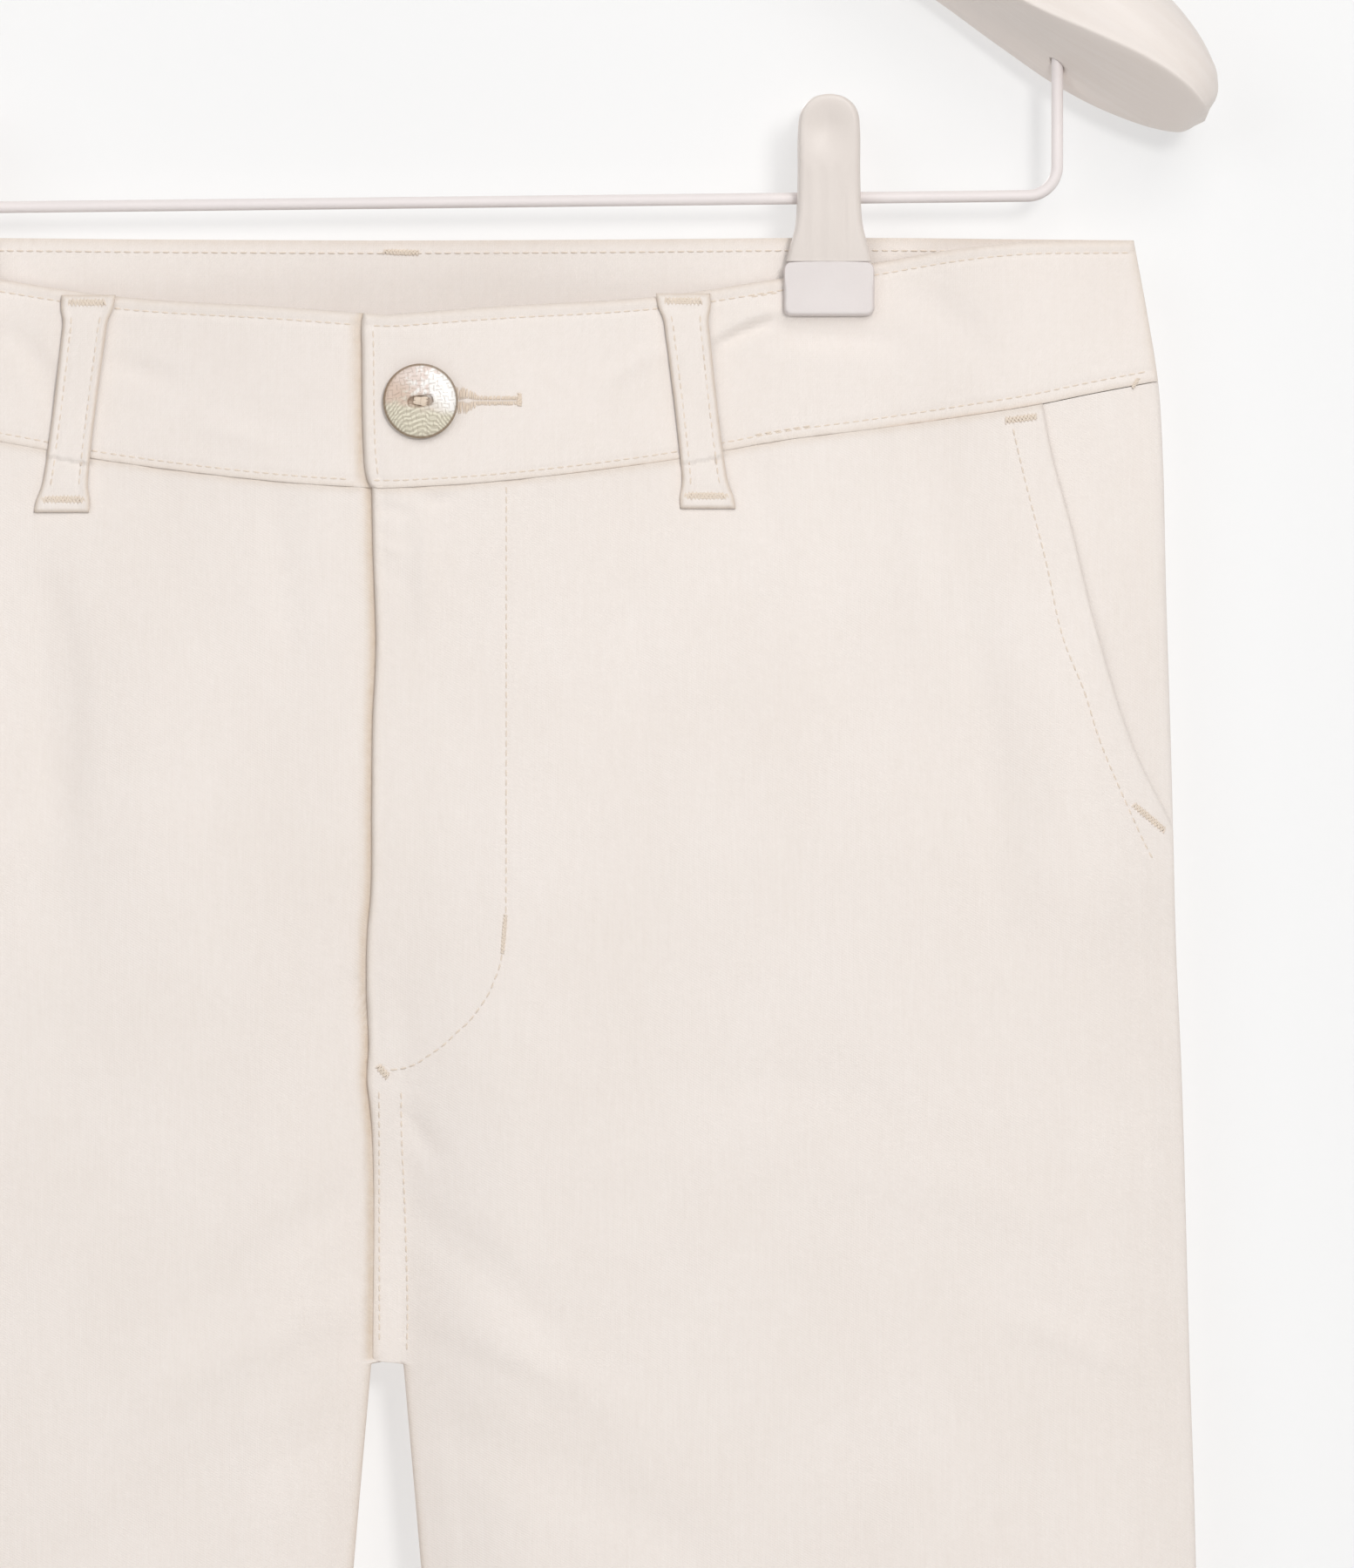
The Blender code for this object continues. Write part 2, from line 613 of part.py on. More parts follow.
def add_pocket_facing(name, hand):
    """The hip piece under the slanted pocket edge, out to the side seam."""
    columns = 6
    rows = 14

    def place(column, row, outer):
        level = row / rows
        share = column / columns
        depth = lerp(FACING_START_DEPTH, FACING_END_DEPTH, level)
        for _ in range(4):
            x = lerp(min(pocket_x(depth), side_x(depth)) - FACING_UNDERLAP, side_x(depth), share)
            top = edge_depth("front", "seam", x) + 0.5 * SEAM_GAP
            depth = lerp(top, FACING_END_DEPTH, level)
        return cloth_point("front", hand * x, depth, PANEL_WALL - 0.1 if outer else 0.0)

    add_wall(name, columns, rows, place, "cloth")


def add_fly():
    """The placket behind the folded fly edge, the underlap and the zip between them."""
    rows = 20
    placket_columns = 3
    shield_columns = 5
    top = edge_depth("front", "seam", BUTTON_X) + PLACKET_TOP_GAP

    def placket(column, row, outer):
        depth = lerp(top, FLY_BOTTOM_DEPTH - PLACKET_END_GAP, row / rows)
        bend = clamp((depth - FLY_CURVE_DEPTH) / (FLY_BOTTOM_DEPTH - FLY_CURVE_DEPTH))
        left = FRONT_SEAM_X + 0.6
        right = lerp(left, FLY_STITCH_X, math.sqrt(1.0 - bend * bend))
        x = lerp(left, right, column / placket_columns)
        return cloth_point("front", x, depth, PLACKET_OFFSET + (PLACKET_WALL if outer else 0.0))

    def shield(column, row, outer):
        depth = lerp(top, FLY_BOTTOM_DEPTH - SHIELD_END_GAP, row / rows)
        x = lerp(SHIELD_LEFT_X, SHIELD_RIGHT_X, column / shield_columns)
        return cloth_point("front", x, depth, SHIELD_OFFSET + (SHIELD_WALL if outer else 0.0))

    zip_columns = 5

    def zip_strip(column, row, outer):
        depth = lerp(ZIP_TOP_DEPTH, ZIP_BOTTOM_DEPTH, row / rows)
        x = lerp(ZIP_LEFT_X, ZIP_RIGHT_X, column / zip_columns)
        teeth = ZIP_TEETH_HEIGHT if column in (2, 3) and row not in (0, rows) else 0.0
        height = ZIP_TAPE_WALL + teeth if outer else 0.0
        return cloth_point("front", x, depth, ZIP_OFFSET + height)

    add_wall("fly_placket", placket_columns, rows, placket, "cloth")
    add_wall("fly_shield", shield_columns, rows, shield, "cloth")
    add_wall("fly_zip", zip_columns, rows, zip_strip, "zip")


def surface_reader(names):
    """Return a function that reads how far out the named pieces reach at a place."""
    trees = []
    for name in names:
        mesh = bmesh.new()
        mesh.from_mesh(bpy.data.objects[name].data)
        trees.append(BVHTree.FromBMesh(mesh))
        mesh.free()

    def reach(side, x, depth):
        sign = SIDE_SIGN[side]
        start = Vector((x, sign * 100.0, -HOOK_ABOVE_WAIST - depth)) * MM
        hits = [tree.ray_cast(start, Vector((0.0, -sign, 0.0)))[0] for tree in trees]
        return max((sign * hit.y / MM for hit in hits if hit is not None), default=0.0)

    return reach


def add_belt_loop(row_data, reach):
    """A folded strip that stands off the waistband and is tacked at its two ends."""
    side = row_data.side
    rows = len(LOOP_PROFILE) - 1
    columns = 3
    surface = []
    for strip in LOOP_PROFILE:
        depth = lerp(row_data.top, row_data.end, strip.along)
        centre = lerp(row_data.x_top, row_data.x_end, strip.along)
        samples = [reach(side, centre + step, depth + shift)
                   for step in (-LOOP_READ_ACROSS, 0.0, LOOP_READ_ACROSS)
                   for shift in (-LOOP_READ_DOWN, LOOP_READ_DOWN)]
        surface.append((samples[0:2], samples[2:4], samples[4:6]))

    def place(column, row, outer):
        strip = LOOP_PROFILE[row]
        across = column / columns * 2.0 - 1.0
        half = 0.5 * lerp(LOOP_WIDTH, LOOP_END_WIDTH, strip.widen)
        centre = lerp(row_data.x_top, row_data.x_end, strip.along)
        left, middle, right = (max(pair) for pair in surface[row])
        base = lerp(middle, right if across > 0.0 else left, abs(across))
        base += LOOP_SEAT + LOOP_STANDOFF * strip.offset
        y = SIDE_SIGN[side] * (base + (LOOP_WALL if outer else 0.0))
        depth = lerp(row_data.top, row_data.end, strip.along)
        return Vector((centre + across * half, y, -HOOK_ABOVE_WAIST - depth)) * MM

    add_wall(row_data.name, columns, rows, place, "band_cloth")


def add_belt_loops():
    reach = surface_reader(("waistband_front_left", "waistband_front_right", "waistband_back",
                            "front_left", "front_right", "back_left", "back_right"))
    for row_data in BELT_LOOPS:
        add_belt_loop(row_data, reach)


def add_button():
    """A domed shell button with a thread recess, and the thread in it."""
    reach = surface_reader(("waistband_front_right",))
    steps = (-BUTTON_SEAT_REACH, 0.0, BUTTON_SEAT_REACH)
    corners = [reach("front", BUTTON_X + dx, BUTTON_DEPTH + dz) for dx in steps for dz in steps]
    seat = max(corners) + SEAM_GAP
    mesh = bmesh.new()
    verts = [mesh.verts.new(Vector((row.radius, -row.height, 0.0))) for row in BUTTON_PROFILE]
    edges = [mesh.edges.new(pair) for pair in zip(verts, verts[1:])]
    bmesh.ops.spin(mesh, geom=verts + edges, axis=(0.0, 1.0, 0.0), cent=(0.0, 0.0, 0.0),
                   angle=2.0 * math.pi, steps=28, use_merge=True)
    bmesh.ops.remove_doubles(mesh, verts=mesh.verts[:], dist=0.0001)
    place = Matrix.Translation(Vector((BUTTON_X, -seat, -HOOK_ABOVE_WAIST - BUTTON_DEPTH)) * MM)
    bmesh.ops.transform(mesh, matrix=place @ Matrix.Scale(MM, 4), verts=mesh.verts[:])
    add_mesh("button", mesh, "shell")

    thread = bmesh.new()
    bmesh.ops.create_uvsphere(thread, u_segments=12, v_segments=6, radius=1.0)
    shape = Matrix.Diagonal((*THREAD_HALF_SIZE, 1.0))
    turn = Matrix.Rotation(math.radians(THREAD_TURN), 4, "Y")
    height = -HOOK_ABOVE_WAIST - BUTTON_DEPTH
    centre = Vector((BUTTON_X + THREAD_SHIFT, -seat - THREAD_HEIGHT, height)) * MM
    matrix = Matrix.Translation(centre) @ Matrix.Scale(MM, 4) @ turn @ shape
    bmesh.ops.transform(thread, matrix=matrix, verts=thread.verts[:])
    add_mesh("button_thread", thread, "thread")


def arm_ring(row, slope, hand):
    """One section of the hanger's arm, square to the arm's run."""
    length = math.hypot(1.0, slope)
    up = Vector((-slope * hand / length, 0.0, 1.0 / length))
    ring = []
    for point in ARM_SECTION:
        rise = point.up * row.tall + point.with_ridge * row.ridge
        offset = up * rise + Vector((0.0, point.depthwise * row.deep - row.forward, 0.0))
        centre = Vector((hand * row.x, 0.0, row.height - HOOK_ABOVE_WAIST))
        ring.append((centre + offset) * MM)
    return ring


def add_hole(body, name, start, end, radius):
    """Cut a round hole from one point to another in a body."""
    mesh = bmesh.new()
    run = (Vector(end) - Vector(start)) * MM
    bmesh.ops.create_cone(mesh, cap_ends=True, segments=16, radius1=radius * MM, radius2=radius * MM,
                          depth=run.length)
    bmesh.ops.translate(mesh, vec=(Vector(start) + Vector(end)) * 0.5 * MM, verts=mesh.verts[:])
    cutter = add_mesh(name, mesh, "wood")
    cutter.hide_render = True
    cutter.display_type = "WIRE"
    cut = body.modifiers.new(name, "BOOLEAN")
    cut.operation = "DIFFERENCE"
    cut.object = cutter


def add_hanger_body():
    """The wooden hanger, from tip to tip, with holes for the hook and the rod's two ends."""
    slopes = []
    for index in range(len(ARM_ROWS)):
        low = ARM_ROWS[max(index - 1, 0)]
        high = ARM_ROWS[min(index + 1, len(ARM_ROWS) - 1)]
        slopes.append((high.height - low.height) / (high.x - low.x))
    slopes[0] = 0.0
    left = [arm_ring(row, slope, -1.0) for row, slope in zip(ARM_ROWS, slopes)]
    right = [arm_ring(row, slope, 1.0) for row, slope in zip(ARM_ROWS, slopes)]
    body = add_loft("hanger_body", left[::-1] + right[1:], "wood")
    base = -HOOK_ABOVE_WAIST
    add_hole(body, "hook_hole", (0.0, 0.0, base + HOOK_STEM_FOOT - HOLE_OVERRUN),
             (0.0, 0.0, base + HOOK_HOLE_TOP), HOOK_WIRE_RADIUS + HOLE_CLEARANCE)
    for hand, name in ((-1.0, "rod_hole_left"), (1.0, "rod_hole_right")):
        x = hand * ROD_SIDE_X
        add_hole(body, name, (x, 0.0, base + ROD_HOLE_FOOT),
                 (x, 0.0, base + ROD_TOP_HEIGHT + HOLE_OVERRUN), WIRE_RADIUS + HOLE_CLEARANCE)


def hook_points():
    """The hook: a stem, a bend out to the right, then a round arch to the left."""
    centre = -HOOK_RADIUS + HOOK_WIRE_RADIUS
    foot = HOOK_STEM_FOOT - HOOK_ABOVE_WAIST
    top = HOOK_STEM_TOP - HOOK_ABOVE_WAIST
    points = [Vector((0.0, 0.0, lerp(foot, top, step / 4))) for step in range(5)]
    start_angle = math.radians(HOOK_START_ANGLE)
    end_angle = math.radians(HOOK_END_ANGLE)
    across = HOOK_RADIUS * math.cos(start_angle)
    entry = Vector((across, 0.0, centre + HOOK_RADIUS * math.sin(start_angle)))
    heading = Vector((-math.sin(start_angle), 0.0, math.cos(start_angle)))
    for step in range(1, 8):
        t = step / 8
        start = points[4]
        leave = start + Vector((0.0, 0.0, HOOK_BEND_PULL))
        arrive = entry - heading * HOOK_BEND_PULL
        bend = start * (1 - t) ** 3 + leave * (3 * t * (1 - t) ** 2)
        bend += arrive * (3 * t * t * (1 - t)) + entry * t**3
        points.append(bend)
    for step in range(27):
        angle = lerp(start_angle, end_angle, step / 26)
        points.append(Vector((HOOK_RADIUS * math.cos(angle), 0.0, centre + HOOK_RADIUS * math.sin(angle))))
    return points


def rod_height(x):
    return ROD_HEIGHT + ROD_TILT * x - HOOK_ABOVE_WAIST


def rod_points():
    """The rod: down from one arm, a round bend, across, a round bend and up to the other arm."""
    top = ROD_TOP_HEIGHT - HOOK_ABOVE_WAIST
    bends = []
    for hand in (-1.0, 1.0):
        x_centre = hand * (ROD_SIDE_X - ROD_BEND_RADIUS)
        z_centre = rod_height(x_centre) + ROD_BEND_RADIUS
        arc = []
        for step in range(9):
            angle = math.radians(90.0 * step / 8)
            x = x_centre + hand * ROD_BEND_RADIUS * math.cos(angle)
            arc.append(Vector((x, 0.0, z_centre - ROD_BEND_RADIUS * math.sin(angle))))
        bends.append(arc)
    left, right = bends
    middle = [Vector((x, 0.0, rod_height(x))) for x in range(-150, 151, 50)]
    ends = [Vector((hand * ROD_SIDE_X, 0.0, top)) for hand in (-1.0, 1.0)]
    return [ends[0]] + left + middle + right[::-1] + [ends[1]]


def add_jaw(name, x, side):
    """One jaw of a clip: a finger plate that widens to the pad."""
    sign = SIDE_SIGN[side]
    rings = []
    for row in JAW_ROWS:
        chamfer = min(1.2, 0.3 * (row.far - row.near), 0.3 * row.half_width)
        corners = (
            (-row.half_width, row.near + chamfer), (-row.half_width + chamfer, row.near),
            (row.half_width - chamfer, row.near), (row.half_width, row.near + chamfer),
            (row.half_width, row.far - chamfer), (row.half_width - chamfer, row.far),
            (-row.half_width + chamfer, row.far), (-row.half_width, row.far - chamfer),
        )
        height = row.height - HOOK_ABOVE_WAIST
        rings.append([Vector((x + across, sign * out, height)) * MM for across, out in corners])
    add_loft(name, rings, "clip_plastic")


def add_pad(name, x, side):
    """The rubber pad at a jaw's end, against the waistband."""
    sign = SIDE_SIGN[side]
    near = 0.5 * SEAM_GAP + CLIP_FULLNESS + BAND_WALL + SEAM_GAP
    mesh = bmesh.new()
    bmesh.ops.create_cube(mesh, size=1.0)
    size = Vector((2.0 * PAD_HALF_WIDTH, PAD_THICKNESS, PAD_BOTTOM_DEPTH - PAD_TOP_DEPTH))
    bmesh.ops.scale(mesh, vec=size, verts=mesh.verts[:])
    corner_edges = [edge for edge in mesh.edges
                    if abs((edge.verts[0].co - edge.verts[1].co).y) > 1.0
                    and edge.verts[0].co.z < 0.0]
    bmesh.ops.bevel(mesh, geom=corner_edges, offset=3.0, offset_type="OFFSET", segments=3, profile=0.5,
                    affect="EDGES", material=-1)
    outer_edges = [edge for edge in mesh.edges
                   if all(sign * vert.co.y > 0.49 * PAD_THICKNESS for vert in edge.verts)]
    bmesh.ops.bevel(mesh, geom=outer_edges, offset=0.8, offset_type="OFFSET", segments=2, profile=0.5,
                    affect="EDGES", material=-1)
    height = -HOOK_ABOVE_WAIST - 0.5 * (PAD_TOP_DEPTH + PAD_BOTTOM_DEPTH)
    centre = Vector((x, sign * (near + 0.5 * PAD_THICKNESS), height))
    bmesh.ops.transform(mesh, matrix=Matrix.Scale(MM, 4) @ Matrix.Translation(centre), verts=mesh.verts[:])
    add_mesh(name, mesh, "clip_rubber")


def add_barrel(name, x):
    """The clip's barrel, a short tube on the rod between the two jaws."""
    inner = WIRE_RADIUS + HOLE_CLEARANCE
    corners = ((-CLIP_BARREL_HALF, inner), (CLIP_BARREL_HALF, inner),
               (CLIP_BARREL_HALF, CLIP_BARREL_RADIUS), (-CLIP_BARREL_HALF, CLIP_BARREL_RADIUS))
    mesh = bmesh.new()
    verts = [mesh.verts.new((across, out, 0.0)) for across, out in corners]
    edges = [mesh.edges.new((verts[i], verts[(i + 1) % 4])) for i in range(4)]
    bmesh.ops.spin(mesh, geom=verts + edges, axis=(1.0, 0.0, 0.0), cent=(0.0, 0.0, 0.0),
                   angle=2.0 * math.pi, steps=16, use_merge=True)
    bmesh.ops.remove_doubles(mesh, verts=mesh.verts[:], dist=0.0001)
    turn = Matrix.Rotation(-math.atan(ROD_TILT), 4, "Y")
    centre = Vector((x, 0.0, rod_height(x)))
    matrix = Matrix.Scale(MM, 4) @ Matrix.Translation(centre) @ turn
    bmesh.ops.transform(mesh, matrix=matrix, verts=mesh.verts[:])
    add_mesh(name, mesh, "clip_plastic")


def add_hanger():
    """Everything that holds the garment up."""
    add_hanger_body()
    add_wire("hook", hook_points(), HOOK_WIRE_RADIUS, "coated_wire")
    add_wire("rod", rod_points(), WIRE_RADIUS, "coated_wire")
    for hand, label in ((-1.0, "left"), (1.0, "right")):
        x = hand * CLIP_X
        for side in ("front", "back"):
            add_jaw(f"clip_{label}_jaw_{side}", x, side)
            add_pad(f"clip_{label}_pad_{side}", x, side)
        add_barrel(f"clip_{label}_barrel", x)


def main():
    clear_scene()
    add_panels()
    add_waistbands()
    add_pocket_facing("pocket_facing_left", -1.0)
    add_pocket_facing("pocket_facing_right", 1.0)
    add_fly()
    add_belt_loops()
    add_button()
    add_hanger()


main()
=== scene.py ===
"""Cream chinos on a clip hanger: cloth, sewing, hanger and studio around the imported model.

Sizes are in millimetres, and a depth is measured down from the back waistband's top edge.
Finished meshes are in metres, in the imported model's own frame.
"""
import logging
import math
from dataclasses import dataclass, field
from enum import Enum
from typing import Any, Callable, Dict, List, Optional, Sequence, Tuple, Union

import bmesh
import bpy
import numpy as np
from mathutils import Matrix, Vector


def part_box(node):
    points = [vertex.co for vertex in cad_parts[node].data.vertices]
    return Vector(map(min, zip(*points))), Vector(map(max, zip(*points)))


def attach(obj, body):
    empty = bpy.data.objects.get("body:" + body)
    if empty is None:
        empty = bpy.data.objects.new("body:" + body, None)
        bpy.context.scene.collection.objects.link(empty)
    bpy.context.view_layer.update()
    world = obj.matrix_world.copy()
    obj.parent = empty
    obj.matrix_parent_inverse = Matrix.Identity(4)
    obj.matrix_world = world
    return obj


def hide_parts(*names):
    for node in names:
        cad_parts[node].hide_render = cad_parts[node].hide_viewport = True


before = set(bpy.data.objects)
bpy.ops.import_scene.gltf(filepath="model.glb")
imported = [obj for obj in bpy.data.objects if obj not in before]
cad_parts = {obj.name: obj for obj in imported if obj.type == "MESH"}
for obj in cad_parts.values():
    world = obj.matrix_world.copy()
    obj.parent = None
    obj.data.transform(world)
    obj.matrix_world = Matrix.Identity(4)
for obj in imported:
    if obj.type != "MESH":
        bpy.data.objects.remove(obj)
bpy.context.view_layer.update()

LOG = logging.getLogger("chinos")
MM = 0.001
Array = np.ndarray
Reader = Callable[[Array], Array]
PairReader = Callable[[Array, Array], Array]
Thing = bpy.types.Object
Material = bpy.types.Material
Point = Tuple[float, float, float]
Colour = Tuple[float, float, float, float]
Rows = Sequence[Tuple[float, ...]]
PASSES = 5


class Side(Enum):
    """Which half of the garment a place is on; the value is the sign of its depth axis."""

    FRONT = -1.0
    BACK = 1.0


def clamp(value: Array, low: float = 0.0, high: float = 1.0) -> Array:
    """Keep values between two limits."""
    return np.clip(value, low, high)


def lerp(start: Array, end: Array, share: Array) -> Array:
    """Go from one value to another by a share."""
    return start + (end - start) * share


def smooth(value: Array) -> Array:
    """Ease from 0 to 1 with level ends."""
    share = clamp(value)
    return share * share * (3.0 - 2.0 * share)


def fade(beyond: Array, start: float, length: float) -> Array:
    """Fall from 1 to 0 over a length that starts some way beyond an edge."""
    return 1.0 - smooth((beyond - start) / length)


def bell(offset: Array, width: float) -> Array:
    """A soft hump of height 1 round an offset of 0."""
    return np.exp(-((offset / width) ** 2))


class Curve:
    """A smooth curve through a table's rows, read for whole arrays at once."""

    def __init__(self, *rows: Tuple[float, float]) -> None:
        """Store the rows.

        Args:
            rows: pairs of a key and its value, in rising order of key.
        """
        self.keys, self.values = np.array(rows, dtype=float).T
        chords = np.diff(self.values) / np.diff(self.keys)
        self.slopes = 0.5 * (np.append(chords[:1], chords) + np.append(chords, chords[-1:]))

    def __call__(self, at: Array) -> Array:
        """Read the curve.

        Args:
            at: the keys to read at; beyond the table the end values hold.

        Returns:
            The values there.
        """
        at = np.clip(at, self.keys[0], self.keys[-1])
        cell = np.clip(np.searchsorted(self.keys, at, side="right") - 1, 0, len(self.keys) - 2)
        span = self.keys[cell + 1] - self.keys[cell]
        t = (at - self.keys[cell]) / span
        low, high = self.values[cell], self.values[cell + 1]
        bend = self.slopes[cell] * (t**3 - 2 * t**2 + t) + self.slopes[cell + 1] * (t**3 - t**2)
        return low + (high - low) * (3 * t**2 - 2 * t**3) + span * bend


@dataclass(frozen=True)
class Fold:
    """A long soft fold of the hanging cloth; a negative height is a trough."""

    side: Side
    x_top: float
    top: float
    x_end: float
    end: float
    half_width: float
    height: float

    def rise(self, x: Array, depth: Array) -> Array:
        """Height of the fold at each place.

        Args:
            x: places across.
            depth: their depths.

        Returns:
            Heights in millimetres.
        """
        share = (depth - self.top) / (self.end - self.top)
        across = (x - lerp(self.x_top, self.x_end, share)) / self.half_width
        along = np.where((share > 0) & (share < 1), np.sin(np.pi * clamp(share)), 0.0)
        return self.height * along * np.exp(-across * across)


@dataclass(frozen=True)
class Crease:
    """A crease from one place to another, bent aside and steeper on one flank."""

    side: Side
    x0: float
    d0: float
    x1: float
    d1: float
    width: float
    height: float
    bend: float = 0.0
    lean: float = 0.0

    def rise(self, x: Array, depth: Array) -> Array:
        """Height of the crease at each place.

        Args:
            x: places across.
            depth: their depths.

        Returns:
            Heights in millimetres.
        """
        run = np.array([self.x1 - self.x0, self.d1 - self.d0])
        length = float(np.hypot(*run))
        unit = run / length
        along = ((x - self.x0) * unit[0] + (depth - self.d0) * unit[1]) / length
        across = (x - self.x0) * unit[1] - (depth - self.d0) * unit[0]
        inside = clamp(along)
        across = across - self.bend * 4.0 * inside * (1.0 - inside)
        width = self.width * (1.0 + self.lean * np.tanh(across / self.width))
        over = (along - inside) * length
        ends = np.sqrt(np.sin(np.pi * (0.06 + 0.88 * inside))) * bell(over, self.width)
        return 1.6 * self.height * ends * np.exp(-((across / width) ** 2))


F, B = Side.FRONT, Side.BACK


def table(kind: Callable[..., Any], front: Rows, back: Rows) -> Tuple[Any, ...]:
    """Make folds or creases from rows whose columns are the fields after the side."""
    return tuple(kind(side, *row) for side, rows in ((F, front), (B, back)) for row in rows)


FOLDS = table(Fold, (
    (-98, 60, -86, 200, 15, -3.4), (-66, 70, -60, 230, 20, 1.6), (66, 75, 58, 250, 17, -1.6),
    (158, 70, 150, 240, 16, -1.5), (-150, 90, -150, 330, 20, -2.0), (60, 330, 96, 900, 22, -2.8),
    (150, 360, 178, 1090, 24, -2.2), (-56, 350, -100, 1090, 20, -2.6),
    (-140, 380, -180, 980, 24, -2.6),
), (
    (84, 60, 70, 240, 18, -3.0), (-90, 66, -76, 270, 20, -2.6), (20, 150, 70, 380, 18, -3.0),
    (-22, 160, -80, 400, 18, -2.6), (140, 350, 160, 1000, 24, -2.6),
    (72, 420, 120, 1090, 20, -2.0), (-130, 370, -150, 1090, 22, -2.8),
))
BAND_CREASES = table(Crease, (
    (86.5, 27.6, 103.0, 19.4, 1.9, 0.75, 0.8, 0.3), (86.5, 30.2, 104.0, 22.2, 1.7, -1.0, 0.8),
    (57.9, 39.1, 74.7, 29.8, 2.4, 0.4, 0.6), (-74, 34, -57, 38, 3.2, -0.5),
    (-99, 26, -89, 43, 3.6, -0.6, 1.0), (103, 26.5, 134, 27.5, 3.6, -0.75),
    (-133, 27.5, -103, 26.5, 3.6, -0.75), (40, 30, 52, 46, 3.4, -0.3, 1.0),
    (140, 14, 158, 30, 5.0, -0.5, 1.5), (-158, 26, -142, 12, 5.0, -0.5, 1.5),
    (-50, 50, -30, 56, 3.0, 0.3),
), (
    (-106, 30, -88, 22, 2.2, 0.5, 0.8), (90, 24, 108, 33, 2.6, -0.5, 0.8),
    (103, 23, 133, 24, 3.6, -0.7), (-133, 24, -103, 23, 3.6, -0.7),
    (28, 20, 46, 32, 4.0, -0.35, 1.0), (-60, 30, -42, 18, 4.0, -0.35, 1.0),
    (150, 8, 166, 24, 5.0, -0.4),
))
PANEL_CREASES = table(Crease, (
    (64, 90, 65, 124, 4.5, -0.55, 0.8), (100, 60, 102, 82, 3.6, -0.45),
    (157, 104, 164, 188, 6.5, -0.7, 2.0, 0.2), (186, 224, 202, 242, 5.0, -0.5, 1.0),
    (168, 289, 196, 301, 4.5, 0.55, 1.0), (5, 234, 13, 245, 2.6, -0.5),
    (9.8, 73, 10.4, 102, 2.6, 0.8, 0.5, -0.3), (11, 71, 17, 70, 1.6, -0.5),
    (-2.6, 89.5, 6, 93, 1.3, -0.35), (-2.4, 72.5, 6, 74, 1.4, -0.35),
    (-2.4, 82, 5, 84.5, 1.2, 0.3), (-9.6, 198, -5.2, 210, 1.7, -0.7, 0.4),
    (-90, 96, -88, 154, 6.0, -1.0, 1.5, 0.3), (-84, 84, -80, 170, 5.0, 0.4, 1.2),
    (-30, 72, -26, 118, 5.0, -0.4, 1.0), (44, 72, 40, 108, 4.0, -0.35, 0.6),
    (118, 58, 121, 120, 7.0, -0.5, 1.5), (136, 52, 143, 118, 5.5, 0.45, 1.4),
    (8, 262, 46, 296, 6.0, -0.7, 2.5), (12, 288, 66, 318, 6.5, 0.7, 2.6, 0.3),
    (-14, 258, -50, 292, 6.0, -0.7, -2.5), (-12, 286, -70, 316, 6.5, 0.7, -2.6),
    (14, 318, 84, 352, 7.0, -0.8, 3.0), (-14, 320, -88, 356, 7.0, -0.8, -3.0),
    (120, 250, 176, 262, 8.0, 0.5, 3.0), (88, 226, 132, 232, 7.0, -0.4, 2.0),
    (-120, 236, -170, 252, 8.0, 0.5, -3.0), (96, 560, 150, 548, 8.0, 0.8, 4.0),
    (88, 592, 158, 600, 9.0, -0.9, 4.0, 0.2), (-104, 572, -166, 556, 9.0, 0.8, 4.0),
    (-92, 612, -160, 606, 9.0, -0.9, -4.0), (112, 640, 176, 662, 8.0, 0.7, 3.0),
    (120, 930, 176, 948, 9.0, -0.7, 3.0), (-118, 942, -182, 930, 9.0, -0.7, 3.0),
    (-96, 880, -150, 868, 8.0, 0.6, 3.0), (92, 700, 96, 860, 7.0, 0.7, 3.0),
    (-82, 690, -92, 850, 7.0, 0.7, -3.0), (196, 420, 206, 600, 8.0, -0.8, 3.0),
), (
    (64, 84, 60, 130, 5.0, -0.6, 1.0), (-104, 66, -98, 120, 4.5, 0.5, 0.8),
    (6, 250, 60, 286, 7.0, 0.9, 3.0, 0.3), (-6, 246, -64, 290, 7.0, 0.9, -3.0),
    (8, 280, 84, 316, 8.0, -1.0, 3.5), (-8, 278, -86, 314, 8.0, -1.0, -3.5),
    (14, 318, 110, 346, 8.0, 0.9, 4.0, 0.2), (-14, 320, -112, 350, 8.0, 0.9, -4.0),
    (120, 200, 180, 214, 9.0, -0.6, 3.0), (-126, 206, -184, 196, 9.0, -0.6, 3.0),
    (30, 150, 26, 220, 7.0, 0.5, 2.0), (-34, 140, -28, 214, 7.0, -0.6, 2.0),
    (90, 566, 160, 552, 9.0, -1.0, 4.0, 0.2), (-92, 560, -164, 572, 9.0, -1.0, 4.0),
    (96, 596, 168, 606, 9.0, 1.0, 4.0), (-98, 600, -168, 592, 9.0, 1.0, -4.0),
    (104, 636, 150, 650, 8.0, -0.7, 3.0), (-110, 640, -156, 628, 8.0, -0.7, 3.0),
    (124, 936, 184, 920, 9.0, 0.8, 3.0), (-120, 928, -186, 944, 9.0, -0.8, 3.0),
    (84, 420, 92, 540, 8.0, 0.7, 3.0), (-90, 430, -94, 545, 8.0, -0.7, -3.0),
))


